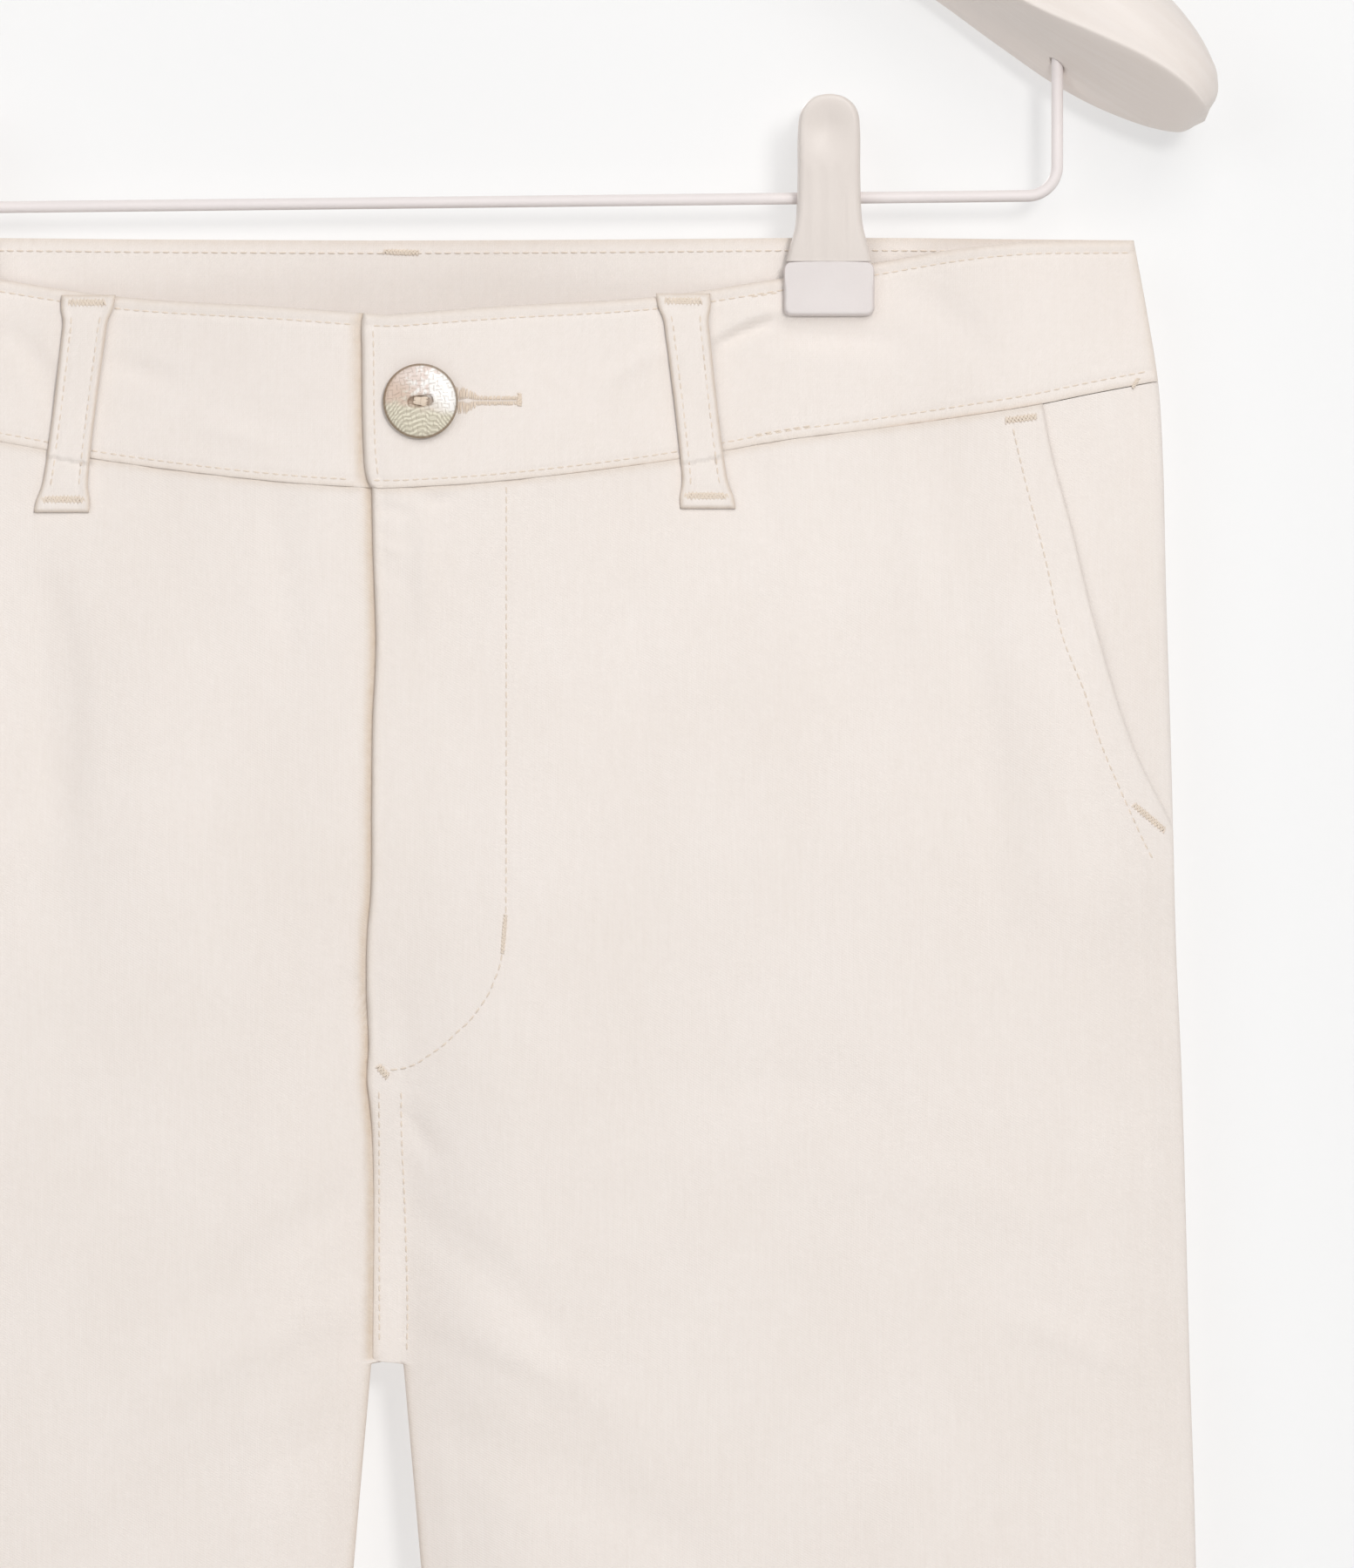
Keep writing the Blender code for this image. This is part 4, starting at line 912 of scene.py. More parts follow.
@dataclass
class Panels(Maker):
    """The four leg panels."""

    near: Array = field(default_factory=lambda: grade(*RIM, (8.0, 6), (30.0, 15), (40.0, 12)))
    far: Array = field(default_factory=lambda: grade(*RIM, (12.0, 9)))
    middle_cells: int = 62
    upper_rows: Array = field(default_factory=lambda: grade(*RIM, (20.0, 13)))
    hip_rows: Array = field(default_factory=lambda: grade((218.0, 96), (220.0, 8)))
    fork_rows: Array = field(default_factory=lambda: grade((0.8, 4), (4.0, 4)))
    leg_rows: int = 154
    hem_rows: Array = field(default_factory=lambda: grade(*RIM, (24.0, 12)))

    def inner_edge(self, side: Side, hand: float, depth: Array) -> Array:
        """Signed x of a panel's centre edge, then of its inseam.

        Args:
            side: front or back.
            hand: -1 for the viewer's left, 1 for the right.
            depth: depths to read at.

        Returns:
            Distances in millimetres.
        """
        garment = self.garment
        if side is B:
            centre = np.full_like(depth, hand * 0.5 * garment.gap)
        elif hand > 0:
            centre = garment.fly_edge(depth)
        else:
            tuck = fade(depth - garment.fly_bottom, -22.0, 14.0)
            centre = lerp(-1.2, 3.0, tuck)
        legs = smooth((depth - garment.crotch + 1.0) / 1.1)
        return lerp(centre, hand * garment.inseam_x(depth), legs)

    def build(self, name: str, side: Side, hand: float) -> Thing:
        """Make one panel from waist seam to hem.

        Args:
            name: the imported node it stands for.
            side: front or back.
            hand: -1 for the panel at the viewer's left, 1 for the right.

        Returns:
            The finished piece.
        """
        garment = self.garment
        outer_x = garment.pocket_x if side is F else garment.side_x
        from_near, from_far, share = spread(self.near, self.middle_cells, self.far)
        hip = self.upper_rows[-1]
        hem = self.hem_rows[-1]
        down = np.concatenate([self.upper_rows, hip + self.hip_rows[1:]])
        legs = np.linspace(0.0, 1.0, self.leg_rows + 1)[1:-1]
        fork = garment.crotch + self.fork_rows[1:]
        leg_depth = np.concatenate([fork, lerp(fork[-1], garment.hem - hem, legs)])
        low = garment.hem - self.hem_rows[::-1]
        columns = len(share) - 1
        upper = len(down)
        rows = upper + len(leg_depth) + len(low) - 1

        def place(column: Array, row: Array, outer: Array) -> Tuple[Array, Array]:
            """Place the shell's points.

            Args:
                column: each point's grid column.
                row: its grid row.
                outer: whether it is on the outer face.

            Returns:
                Points in metres, and the tint for wear and painted shade of each.
            """
            below = np.concatenate([leg_depth, low])
            fixed = below[np.clip(row - upper, 0, len(below) - 1)]
            step = down[np.clip(row, 0, upper - 1)]
            depth = np.where(row < upper, 60.0 + step, fixed)
            for _ in range(PASSES):
                inner = self.inner_edge(side, hand, depth)
                edge = hand * outer_x(depth)
                start = inner + hand * from_near[column]
                end = edge - hand * from_far[column]
                x = lerp(start, end, share[column])
                top = garment.seam(side, x) + 0.5 * garment.gap
                span = (garment.crotch - top - hip) / (down[-1] - hip)
                scaled = np.where(step > hip, top + hip + (step - hip) * span, top + step)
                depth = np.where(row < upper, scaled, fixed)
            in_edge = np.abs(x - inner)
            out_edge = np.abs(edge - x)
            waist_edge = depth - top
            hem_edge = garment.hem - depth
            full = garment.panel_top(side, x, depth)
            base = garment.panel_base(side, x, depth)
            above = fade(depth - garment.crotch, -2.0, 1.5)
            edges = np.minimum(np.minimum(in_edge, waist_edge),
                               np.minimum(hem_edge, out_edge + 1.4))
            # Tan tint near edges and seams: partly wear, partly painted seam shade.
            wear_and_painted_shade = 0.4 * np.exp(-((edges / 1.4) ** 2))
            if side is F and hand < 0:
                lapped = smooth((x + 6.6) / 1.2) * above
                full = lerp(full, np.minimum(full, garment.panel_wall - 0.1), lapped)
                base = lerp(base, 0.0, lapped)
                # Painted shadow on the left front beside the fly's edge.
                painted_shadow = bell(x - garment.fly_edge(depth) + 0.6, 1.5) * above
                wear_and_painted_shade = np.maximum(wear_and_painted_shade * (1 - lapped), painted_shadow)
            elif side is F:
                reach = lerp(0.7, 2.6, smooth((depth - garment.fly_bottom + 4.0) / 10.0))
                base = lerp(base, garment.panel_wall + 0.02, fade(in_edge, reach, 1.0) * above)
            base = np.maximum(base, 0.0)
            full = np.maximum(full, base + 0.4)
            others = np.minimum(np.minimum(in_edge, out_edge), hem_edge)
            share_of_wall = np.minimum(rounding(others, 1.1), rounding(waist_edge, 0.4, 0.95))
            outward = np.where(outer, lerp(base, full, share_of_wall), base)
            return garment.point(side, x, depth, outward), wear_and_painted_shade

        thing = self.shop.shaper.shell(f"cloth_{name}", columns, rows, place)
        return self.shop.add(thing, "cloth", "cloth", name)


@dataclass
class Bands(Maker):
    """The three waistbands."""

    rows_between: int = 27

    def build(self, name: str, side: Side, low_x: Reader, high_x: Reader, cells: int,
              lifted: bool) -> Thing:
        """Make one waistband between two edges.

        Args:
            name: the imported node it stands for.
            side: front or back.
            low_x: reads x of its left edge from a depth.
            high_x: reads x of its right edge from a depth.
            cells: cells along its middle.
            lifted: whether it lies on the other band's end.

        Returns:
            The finished piece.
        """
        garment = self.garment
        rim = grade(*RIM, (8.0, 6))
        first, last, share = spread(rim, cells, rim)
        low_rim = grade(*RIM, (6.0, 6))
        from_top, from_seam, level = spread(low_rim, self.rows_between, low_rim)

        def place(column: Array, row: Array, outer: Array) -> Tuple[Array, Array]:
            """Place the shell's points.

            Args:
                column: each point's grid column.
                row: its grid row.
                outer: whether it is on the outer face.

            Returns:
                Points in metres, and the tint for wear and painted shade of each.
            """
            depth = np.full(len(column), 30.0)
            for _ in range(PASSES):
                start, end = low_x(depth), high_x(depth)
                x = lerp(start + first[column], end - last[column], share[column])
                top = garment.top(side, x)
                seam = garment.seam(side, x) - 0.5 * garment.gap
                depth = lerp(top + from_top[row], seam - from_seam[row], level[row])
            ends = np.minimum(x - start, end - x)
            nearest = np.minimum(ends, np.minimum(depth - top, seam - depth))
            upper_edge = np.minimum(ends, depth - top)
            full = garment.band_top(side, x, depth)
            base = np.zeros_like(full)
            # Tan tint near the band's edges: partly wear, partly painted seam shade.
            wear_and_painted_shade = 0.4 * np.exp(-((nearest / 1.5) ** 2))
            if side is F and lifted:
                base = np.maximum(garment.tab_lift(x) - 0.3 * fade(x - start, 0.6, 0.9), 0.0)
            elif side is F:
                lapped = smooth((x + 8.6) / 1.2)
                full = lerp(full, np.minimum(full, garment.band_wall - 0.1), lapped)
                # Painted shadow on the left band beside the tab's edge.
                painted_shadow = bell(x - garment.tab_edge(depth) + 0.7, 1.6)
                wear_and_painted_shade = np.maximum(wear_and_painted_shade * (1 - lapped), painted_shadow)
            share_of_wall = np.minimum(rounding(upper_edge, 1.7),
                                       rounding(seam - depth, 0.5, 0.93))
            outward = np.where(outer, lerp(base, full, share_of_wall), base)
            return garment.point(side, x, depth, outward), wear_and_painted_shade

        thing = self.shop.shaper.shell(f"cloth_{name}", len(share) - 1, len(level) - 1, place)
        return self.shop.add(thing, "band_cloth", "waistband_cloth", name)

    def side_edge(self, hand: float) -> Reader:
        """Edge of a band at the side seam."""
        return lambda depth: hand * self.garment.side_x(depth)


@dataclass
class InnerLayers(Maker):
    """Pocket facings and the layers behind the fly edge, with the zip's teeth."""

    tooth_pitch: float = 1.35
    rows: int = 80

    def strip(self, name: str, columns: int, x_of: PairReader, depth_of: PairReader, base: float,
              wall: float, finish: str, swell: float = 0.0) -> Thing:
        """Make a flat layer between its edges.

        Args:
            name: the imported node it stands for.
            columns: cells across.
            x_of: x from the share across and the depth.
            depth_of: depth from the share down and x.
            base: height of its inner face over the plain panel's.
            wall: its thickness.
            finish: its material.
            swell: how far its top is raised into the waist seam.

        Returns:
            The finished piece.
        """
        garment = self.garment

        def place(column: Array, row: Array, outer: Array) -> Tuple[Array, Array]:
            """Place the shell's points.

            Args:
                column: each point's grid column.
                row: its grid row.
                outer: whether it is on the outer face.

            Returns:
                Points in metres, and the tint amount of each, which is nil here.
            """
            across, level = column / columns, row / self.rows
            x = x_of(across, np.full(len(column), 100.0))
            for _ in range(PASSES):
                depth = depth_of(level, x)
                x = x_of(across, depth)
            rim = np.minimum(np.minimum(across, 1 - across) * 20.0, (1 - level) * 90.0)
            raised = swell * np.exp(-clamp(depth - garment.seam(F, x), 0.0, 90.0) / 5.0)
            thick = (wall + raised) * rounding(rim, 1.0)
            outward = base + np.where(outer, thick, 0.0)
            return garment.point(F, x, depth, outward), np.zeros(len(column))

        thing = self.shop.shaper.shell(f"layer_{name}", columns, self.rows, place)
        return self.shop.add(thing, finish, finish, name)

    def facing(self, name: str, hand: float) -> Thing:
        """The hip piece under a slanted pocket edge.

        Args:
            name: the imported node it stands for.
            hand: -1 for the viewer's left, 1 for the right.

        Returns:
            The finished piece.
        """
        garment = self.garment

        def x_of(across: Array, depth: Array) -> Array:
            """X of a share of the way from the panel to the side seam."""
            edge = np.minimum(garment.pocket_x(depth), garment.side_x(depth)) - garment.facing_width
            return hand * lerp(edge, garment.side_x(depth), across)

        def depth_of(level: Array, x: Array) -> Array:
            """Depth of a share of the way down."""
            return lerp(garment.seam(F, x) + 0.15, 165.0, level)

        return self.strip(name, 26, x_of, depth_of, 0.0, 1.15, "cloth", 0.5)

    def fly(self) -> List[Thing]:
        """The placket, the underlap and the zip tape.

        Returns:
            The finished pieces.
        """
        garment = self.garment
        start = float(garment.seam(F, np.array(9.1))) + 2.0

        def placket_x(across: Array, depth: Array) -> Array:
            """X of a share of the way across the curved placket."""
            bend = clamp((depth - 183.0) / (garment.fly_bottom - 183.0))
            return lerp(-1.2, lerp(-1.0, 31.0, np.sqrt(1.0 - bend * bend)), across)

        def between(low: float, high: float) -> PairReader:
            """Read a place from its share of the way between two limits."""
            return lambda share, other: lerp(low, high, share) + 0 * other

        bottom = garment.fly_bottom
        return [
            self.strip("fly_placket", 20, placket_x, between(start, bottom - 1.5), 1.3, 0.7,
                       "cloth"),
            self.strip("fly_shield", 20, between(-14.0, 24.0), between(start, bottom - 6.0), -1.5,
                       1.1, "cloth"),
            self.strip("fly_zip", 12, between(3.5, 18.0), between(71.0, 212.0), 0.1, 0.75,
                       "zip_tape"),
        ]

    def teeth(self) -> Thing:
        """Two rows of moulded zip teeth that mesh down the tape's middle.

        Returns:
            The finished piece.
        """
        garment = self.garment
        depths = np.arange(73.0, 210.0, self.tooth_pitch)
        hands = np.where(np.arange(len(depths)) % 2, 1.0, -1.0)
        places = garment.point(F, 10.75 + 0.75 * hands, depths, 1.15)
        axes = np.broadcast_to(np.diag((2.3, 0.65, 0.8)) * MM, (len(depths), 3, 3))
        mesh = bmesh.new()
        bmesh.ops.create_cube(mesh, size=1.0)
        bmesh.ops.bevel(mesh, geom=mesh.edges[:], offset=0.16, offset_type="OFFSET", segments=1,
                        profile=0.5, affect="EDGES", material=-1)
        self.shop.shaper.repeat(mesh, np.concatenate([axes, places[:, None]], axis=1))
        thing = self.shop.shaper.finish(mesh, "zip_teeth", 40.0)
        return self.shop.add(thing, "zip_teeth", "zip_tape")


@dataclass(frozen=True)
class LoopSpec:
    """Where one belt loop is tacked, at its top and at its end."""

    name: str
    side: Side
    x_top: float
    top: float
    x_end: float
    end: float


LOOPS = (
    LoopSpec("belt_loop_front_left", F, -79.7, 15.4, -86.9, 73.5),
    LoopSpec("belt_loop_front_right", F, 79.0, 15.0, 85.7, 72.5),
    LoopSpec("belt_loop_back_left", B, -152.0, 1.5, -153.0, 53.0),
    LoopSpec("belt_loop_back_right", B, 152.0, 1.5, 153.0, 53.0),
    LoopSpec("belt_loop_back_centre", B, 3.7, 1.5, 3.7, 54.0),
)


@dataclass
class BeltLoops(Maker):
    """Folded strips over the waistband, with two stitch rows and a tack at each end."""

    wall: float = 1.1
    standoff: float = 0.55
    width: float = 11.8
    flare: float = 14.8
    rows: int = 96
    offset: Curve = Curve(
        (0, 0), (0.07, 0.05), (0.12, 0.75), (0.2, 1), (0.35, 1), (0.5, 0.96), (0.65, 1),
        (0.8, 1), (0.88, 0.8), (0.93, 0.05), (1, 0))
    widen: Curve = Curve(
        (0, 0.9), (0.06, 0.75), (0.12, 0.1), (0.2, 0), (0.8, 0), (0.88, 0.2), (0.95, 0.9),
        (1, 1))

    def half(self, along: Array) -> Array:
        """Half a loop's width."""
        return 0.5 * lerp(self.width, self.flare, self.widen(along))

    def carrier(self, side: Side, x: Array, depth: Array) -> Array:
        """Height of the band, or of the panel under it, that carries a loop.

        Args:
            side: front or back.
            x: places across.
            depth: their depths.

        Returns:
            Heights in millimetres.
        """
        garment = self.garment
        on_band = depth < garment.seam(side, x)
        band = garment.tab_lift(x) * (side is F) * (x > -6.0) + garment.band_wall
        lift = garment.pocket_lift(x, depth)
        panel = np.maximum(garment.fly_lift(x, depth) * (x > -4.0), lift) * (side is F) + 1.2
        return np.where(on_band, band, panel) + 0.45

    def height(self, spec: LoopSpec, along: Array, across: Array) -> Array:
        """Height of a loop's inner face over the plain panel's inner face.

        Args:
            spec: the loop.
            along: shares along it.
            across: places across it, -1 to 1.

        Returns:
            Heights in millimetres.
        """
        x, depth = self.place(spec, along, across)
        seat = np.maximum(self.carrier(spec.side, x, depth - 1.5),
                          self.carrier(spec.side, x, depth + 1.5))
        return seat + self.standoff * self.offset(along)

    def place(self, spec: LoopSpec, along: Array, across: Array) -> Tuple[Array, Array]:
        """Place (x, depth) on a loop from its shares along and across (-1 to 1)."""
        x = lerp(spec.x_top, spec.x_end, along) + across * self.half(along)
        return x, lerp(spec.top, spec.end, along) + 0.0 * across

    def build(self, spec: LoopSpec) -> List[Thing]:
        """Make one loop and its sewing.

        Args:
            spec: where it is tacked.

        Returns:
            The strip and its thread.
        """
        garment = self.garment
        side = spec.side
        span = grade((0.04, 1), (0.1, 1), (0.18, 1), (0.3, 1), (1.7, 14), (1.82, 1), (1.9, 1),
                     (1.96, 1), (2.0, 1)) - 1.0

        def place(column: Array, row: Array, outer: Array) -> Tuple[Array, Array]:
            """Place the shell's points.

            Args:
                column: each point's grid column.
                row: its grid row.
                outer: whether it is on the outer face.

            Returns:
                Points in metres, and the tint for wear and painted shade of each.
            """
            along, across = row / self.rows, span[column]
            x, depth = self.place(spec, along, across)
            length = spec.end - spec.top
            out = np.abs(across)
            edge = np.minimum((1.0 - out) * 6.0, np.minimum(along, 1.0 - along) * length)
            puff = 0.25 * bell(out - 0.82, 0.12) - 0.22 * bell(out - 0.6, 0.08)
            puff = puff + 0.1 * np.sin(depth / 2.1 + 2.0 * across) * bell(out - 0.62, 0.3)
            base = self.height(spec, along, across)
            tucked = 0.75 * fade((1.0 - out) * 6.0, 0.25, 0.6)
            base = base - tucked * self.standoff * self.offset(along)
            thick = (self.wall + puff) * rounding(edge, 0.9)
            outward = np.where(outer, base + thick, base)
            # Tan tint along the loop's edges: partly wear, partly painted shade at its sides.
            wear_and_painted_shade = 0.75 * np.exp(-((edge / 0.8) ** 2))
            return garment.point(side, x, depth, outward), wear_and_painted_shade

        strip = self.shop.shaper.shell(f"strip_{spec.name}", len(span) - 1, self.rows, place)
        strip = self.shop.add(strip, "band_cloth", "waistband_cloth", spec.name)

        def top_height(x: Array, depth: Array) -> Array:
            """Height of the loop's outer face.

            Args:
                x: places across.
                depth: their depths.

            Returns:
                Heights in millimetres.
            """
            along = clamp((depth - spec.top) / (spec.end - spec.top))
            middle = lerp(spec.x_top, spec.x_end, along)
            return self.height(spec, along, (x - middle) / self.half(along)) + self.wall - 0.2

        sewing = Sewing(Layer(garment, side, top_height), seed=len(spec.name))
        for across in (-0.62, 0.62):
            sewing.row(*self.place(spec, np.linspace(0.1, 0.9, 17), across), dash=1.8)
        for along, wide in ((0.035, 4.6), (0.94, 5.4)):
            first, depth = self.place(spec, along, -wide / 6.6)
            last, _ = self.place(spec, along, wide / 6.6)
            sewing.tack((float(first), float(depth)), (float(last), float(depth)), 2.3)
        thread = sewing.finish(self.shop, f"stitching_{spec.name}")
        return [strip, thread]


@dataclass
class Stitching(Maker):
    """All sewing of the bands, panels, fly, pockets and hems."""

    def layer(self, side: Side, height: Callable[[Side, Array, Array], Array]) -> Layer:
        """Wrap one of the garment's height methods as a layer."""
        return Layer(self.garment, side, lambda x, depth: height(side, x, depth))

    def band(self, side: Side) -> Thing:
        """Both rows along a waistband, the tab's edge and the re-sewn stretches.

        Args:
            side: front or back.

        Returns:
            The finished piece.
        """
        garment = self.garment
        sewing = Sewing(self.layer(side, garment.band_top), seed=11)
        for end, upper in ((198.6, True), (204.2, False)):
            for low, high in ((-end, -8.6), (-3.6, end)) if side is F else ((-end, end),):
                xs = np.linspace(low, high, 30)
                low_row = garment.seam(side, xs) - garment.low_row(xs)
                sewing.row(xs, garment.top(side, xs) + 3.3 if upper else low_row)
        if side is F:
            depths = np.linspace(25.0, 63.5, 8)
            sewing.row(garment.tab_edge(depths) + 3.1, depths)
            for low, high in ((98.0, 114.0), (-132.0, -120.0)):
                xs = np.linspace(low, high, 4)
                sewing.row(xs, garment.seam(side, xs) - garment.low_row(xs) - 0.45)
            xs = np.linspace(97.0, 106.5, 3)
            sewing.row(xs, garment.top(side, xs) + 3.75)
            sewing.tack((199.2, 40.0), (200.6, 37.6), 1.0)
        return sewing.finish(self.shop, f"stitching_band_{side.name.lower()}")

    def inner_band(self) -> Thing:
        """The two rows on the inner face of the back waistband, and its centre tack.

        Returns:
            The finished piece.
        """
        garment = self.garment
        layer = Layer(garment, B, lambda x, depth: 0.0 * x, facing=-1.0)
        sewing = Sewing(layer, seed=17)
        xs = np.linspace(-197.5, 197.5, 40)
        sewing.row(xs, garment.top(B, xs) + 3.4, above=0.12)
        sewing.row(xs, garment.seam(B, xs) - 3.0, above=0.12)
        sewing.tack((-0.9, 3.6), (8.4, 3.9), 1.9)
        return sewing.finish(self.shop, "stitching_band_inside")

    def sew(self, label: str, side: Side, seed: int, *steps: Sequence[Any]) -> Thing:
        """Sew rows and tacks on the leg panels of one side.

        Args:
            label: the end of the piece's name.
            side: front or back.
            seed: where the unevenness of its stitches starts.
            steps: in order, each row's (xs, depths) or tack's (start, end, width).

        Returns:
            The finished piece.
        """
        sewing = Sewing(self.layer(side, self.garment.panel_top), seed=seed)
        for step in steps:
            (sewing.row if len(step) == 2 else sewing.tack)(*step)
        return sewing.finish(self.shop, f"stitching_{label}")

    def fly(self) -> Thing:
        """Fly curve, its two tacks and the twin rows down to the crotch.

        Returns:
            The finished piece.
        """
        return self.sew("fly", F, 23, np.array(self.garment.j_stitch).T,
                        ((31.7, 181.0), (30.9, 191.0), 1.2), ((-2.2, 221.3), (0.3, 224.2), 2.2),
                        (-2.1, np.linspace(228.0, 297.0, 10)),
                        ([3.8, 3.9, 4.8, 5.4, 5.2], [228.0, 240.0, 262.0, 285.0, 298.0]))

    def back_seam(self) -> Thing:
        """Twin rows down the seat seam."""
        depths = np.linspace(48.0, 297.0, 30)
        return self.sew("seat", B, 29, (1.9, depths), (6.9, depths))

    def pocket(self, hand: float, label: str) -> Thing:
        """The row beside a slanted pocket edge, with a tack at each end.

        Args:
            hand: -1 for the viewer's left, 1 for the right.
            label: the end of its name.

        Returns:
            The finished piece.
        """
        xs = np.array([167.0, 170.2, 175.8, 180.0, 186.0, 190.9, 200.2, 205.3])
        depths = [51.0, 64.7, 86.7, 106.0, 121.4, 136.5, 157.7, 167.9]
        return self.sew(f"pocket_{label}", F, 31, (hand * xs, depths),
                        ((hand * 165.2, 49.0), (hand * 173.6, 47.9), 2.1),
                        ((hand * 199.4, 151.6), (hand * 207.6, 158.4), 1.9))

    def hem(self, side: Side, hand: float, label: str) -> Thing:
        """The row round a hem."""
        xs = np.linspace(68.0, 227.0, 20) * hand
        return self.sew(f"hem_{label}", side, 37, (xs, self.garment.hem - 22.0))

    def buttonhole(self) -> Thing:
        """Satin strands round the keyhole slit that shows beside the button.

        Returns:
            The finished piece.
        """
        garment = self.garment
        sewing = Sewing(self.layer(F, garment.band_top), seed=41)
        xs = np.arange(18.6, 35.6, 0.43)
        wide = lerp(3.5, 1.3, smooth((xs - 20.6) / 4.6))
        slit = lerp(0.5, 0.1, smooth(np.abs(xs - 21.6) / 1.4))
        for hand in (-1.0, 1.0):
            ragged = wide * sewing.chance.uniform(0.84, 1.08, len(xs))
            starts = np.stack([xs, 43.8 + hand * slit], axis=1)
            past = xs + sewing.chance.uniform(-0.2, 0.4, len(xs))
            ends = np.stack([past, 43.8 + hand * ragged], axis=1)
            sewing.strands(starts, ends, 0.25, 0.16)
        sewing.tack((35.4, 42.0), (35.4, 45.4), 1.5)
        return sewing.finish(self.shop, "buttonhole", "thread_tan")


@dataclass
class Button(Maker):
    """The shell button with a pill-shaped recess, and its thread."""

    x: float = 9.1
    depth: float = 44.0
    pill_tilt: float = 8.0
    profile: Curve = Curve(
        (0, 2.9), (4.6, 3.1), (7.6, 2.85), (8.9, 2.5), (9.6, 2.05), (10, 1.5))

    def seat(self) -> float:
        """Height of the button's back over the middle plane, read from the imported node."""
        return -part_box("button")[1][1] / MM

    def build(self) -> List[Thing]:
        """Make the disc and its thread.

        Returns:
            Both pieces.
        """
        seat = self.seat()
        centre = Vector((self.x, 0.0, -self.garment.hook_above_waist - self.depth))
        rings = np.concatenate([
            np.linspace(0.0, 8.0, 33), np.array([8.5, 9.0, 9.4, 9.7, 9.9, 10.0])])
        lower = np.array([9.93, 9.7, 9.3, 8.6, 7.4, 4.0, 0.0])
        under = np.array([1.1, 0.8, 0.55, 0.25, 0.0, 0.0, 0.0])

        def place(turn: Array, row: Array) -> Array:
            """Place the rings' points.

            Args:
                turn: each point's share round its ring.
                row: its ring.

            Returns:
                Points in metres.
            """
            radius = np.concatenate([rings, lower])[row]
            front = row < len(rings)
            back = np.append(np.zeros(len(rings)), under)[row]
            height = np.where(front, self.profile(radius), back)
            across = radius * np.cos(2 * np.pi * turn)
            up = radius * np.sin(2 * np.pi * turn)
            tilt = math.radians(self.pill_tilt)
            along = across * math.cos(tilt) + up * math.sin(tilt)
            over = up * math.cos(tilt) - across * math.sin(tilt)
            past = np.hypot(np.maximum(np.abs(along) - 1.9, 0.0), over)
            dish = 1.25 * (1.0 - smooth((past - 1.2) / 0.45)) - 0.12 * bell(past - 2.1, 0.35)
            height = np.where(front, height - dish, height)
            return np.stack([centre.x + across, -(seat + height), centre.z + up], axis=1) * MM

        disc = self.shop.shaper.tube("shell_button", 96, len(rings) + len(lower) - 1, place, 50.0)
        disc = self.shop.add(disc, "shell", "shell", "button")
        mesh = bmesh.new()
        chance = np.random.default_rng(5)
        for index in range(9):
            shift = (index - 4) * 0.24
            lean = float(chance.uniform(-0.25, 0.25))
            lift = 2.35 + 0.22 * math.cos(0.5 * shift * math.pi)
            start = Vector((-1.75, -(seat + lift - 0.35), shift + lean))
            end = Vector((1.75, -(seat + lift - 0.35), shift - lean))
            for one, two in ((start, (start + end) / 2), ((start + end) / 2, end)):
                run = two - one
                middle = (one + two) / 2 + Vector((0.0, -0.15, 0.0))
                turn = run.to_track_quat("Z", "Y").to_matrix().to_4x4()
                size = Matrix.Diagonal((0.2, 0.2, run.length * 0.62, 1.0))
                spin = Matrix.Rotation(math.radians(self.pill_tilt), 4, "Y")
                matrix = Matrix.Scale(MM, 4) @ Matrix.Translation((centre.x, 0.0, centre.z))
                matrix = matrix @ spin @ Matrix.Translation(middle) @ turn @ size
                bmesh.ops.create_uvsphere(mesh, u_segments=8, v_segments=6, radius=1.0,
                                          matrix=matrix)
        thread = self.shop.shaper.finish(mesh, "button_strands")
        thread = self.shop.add(thread, "thread_tan", "thread", "button_thread")
        return [disc, thread]


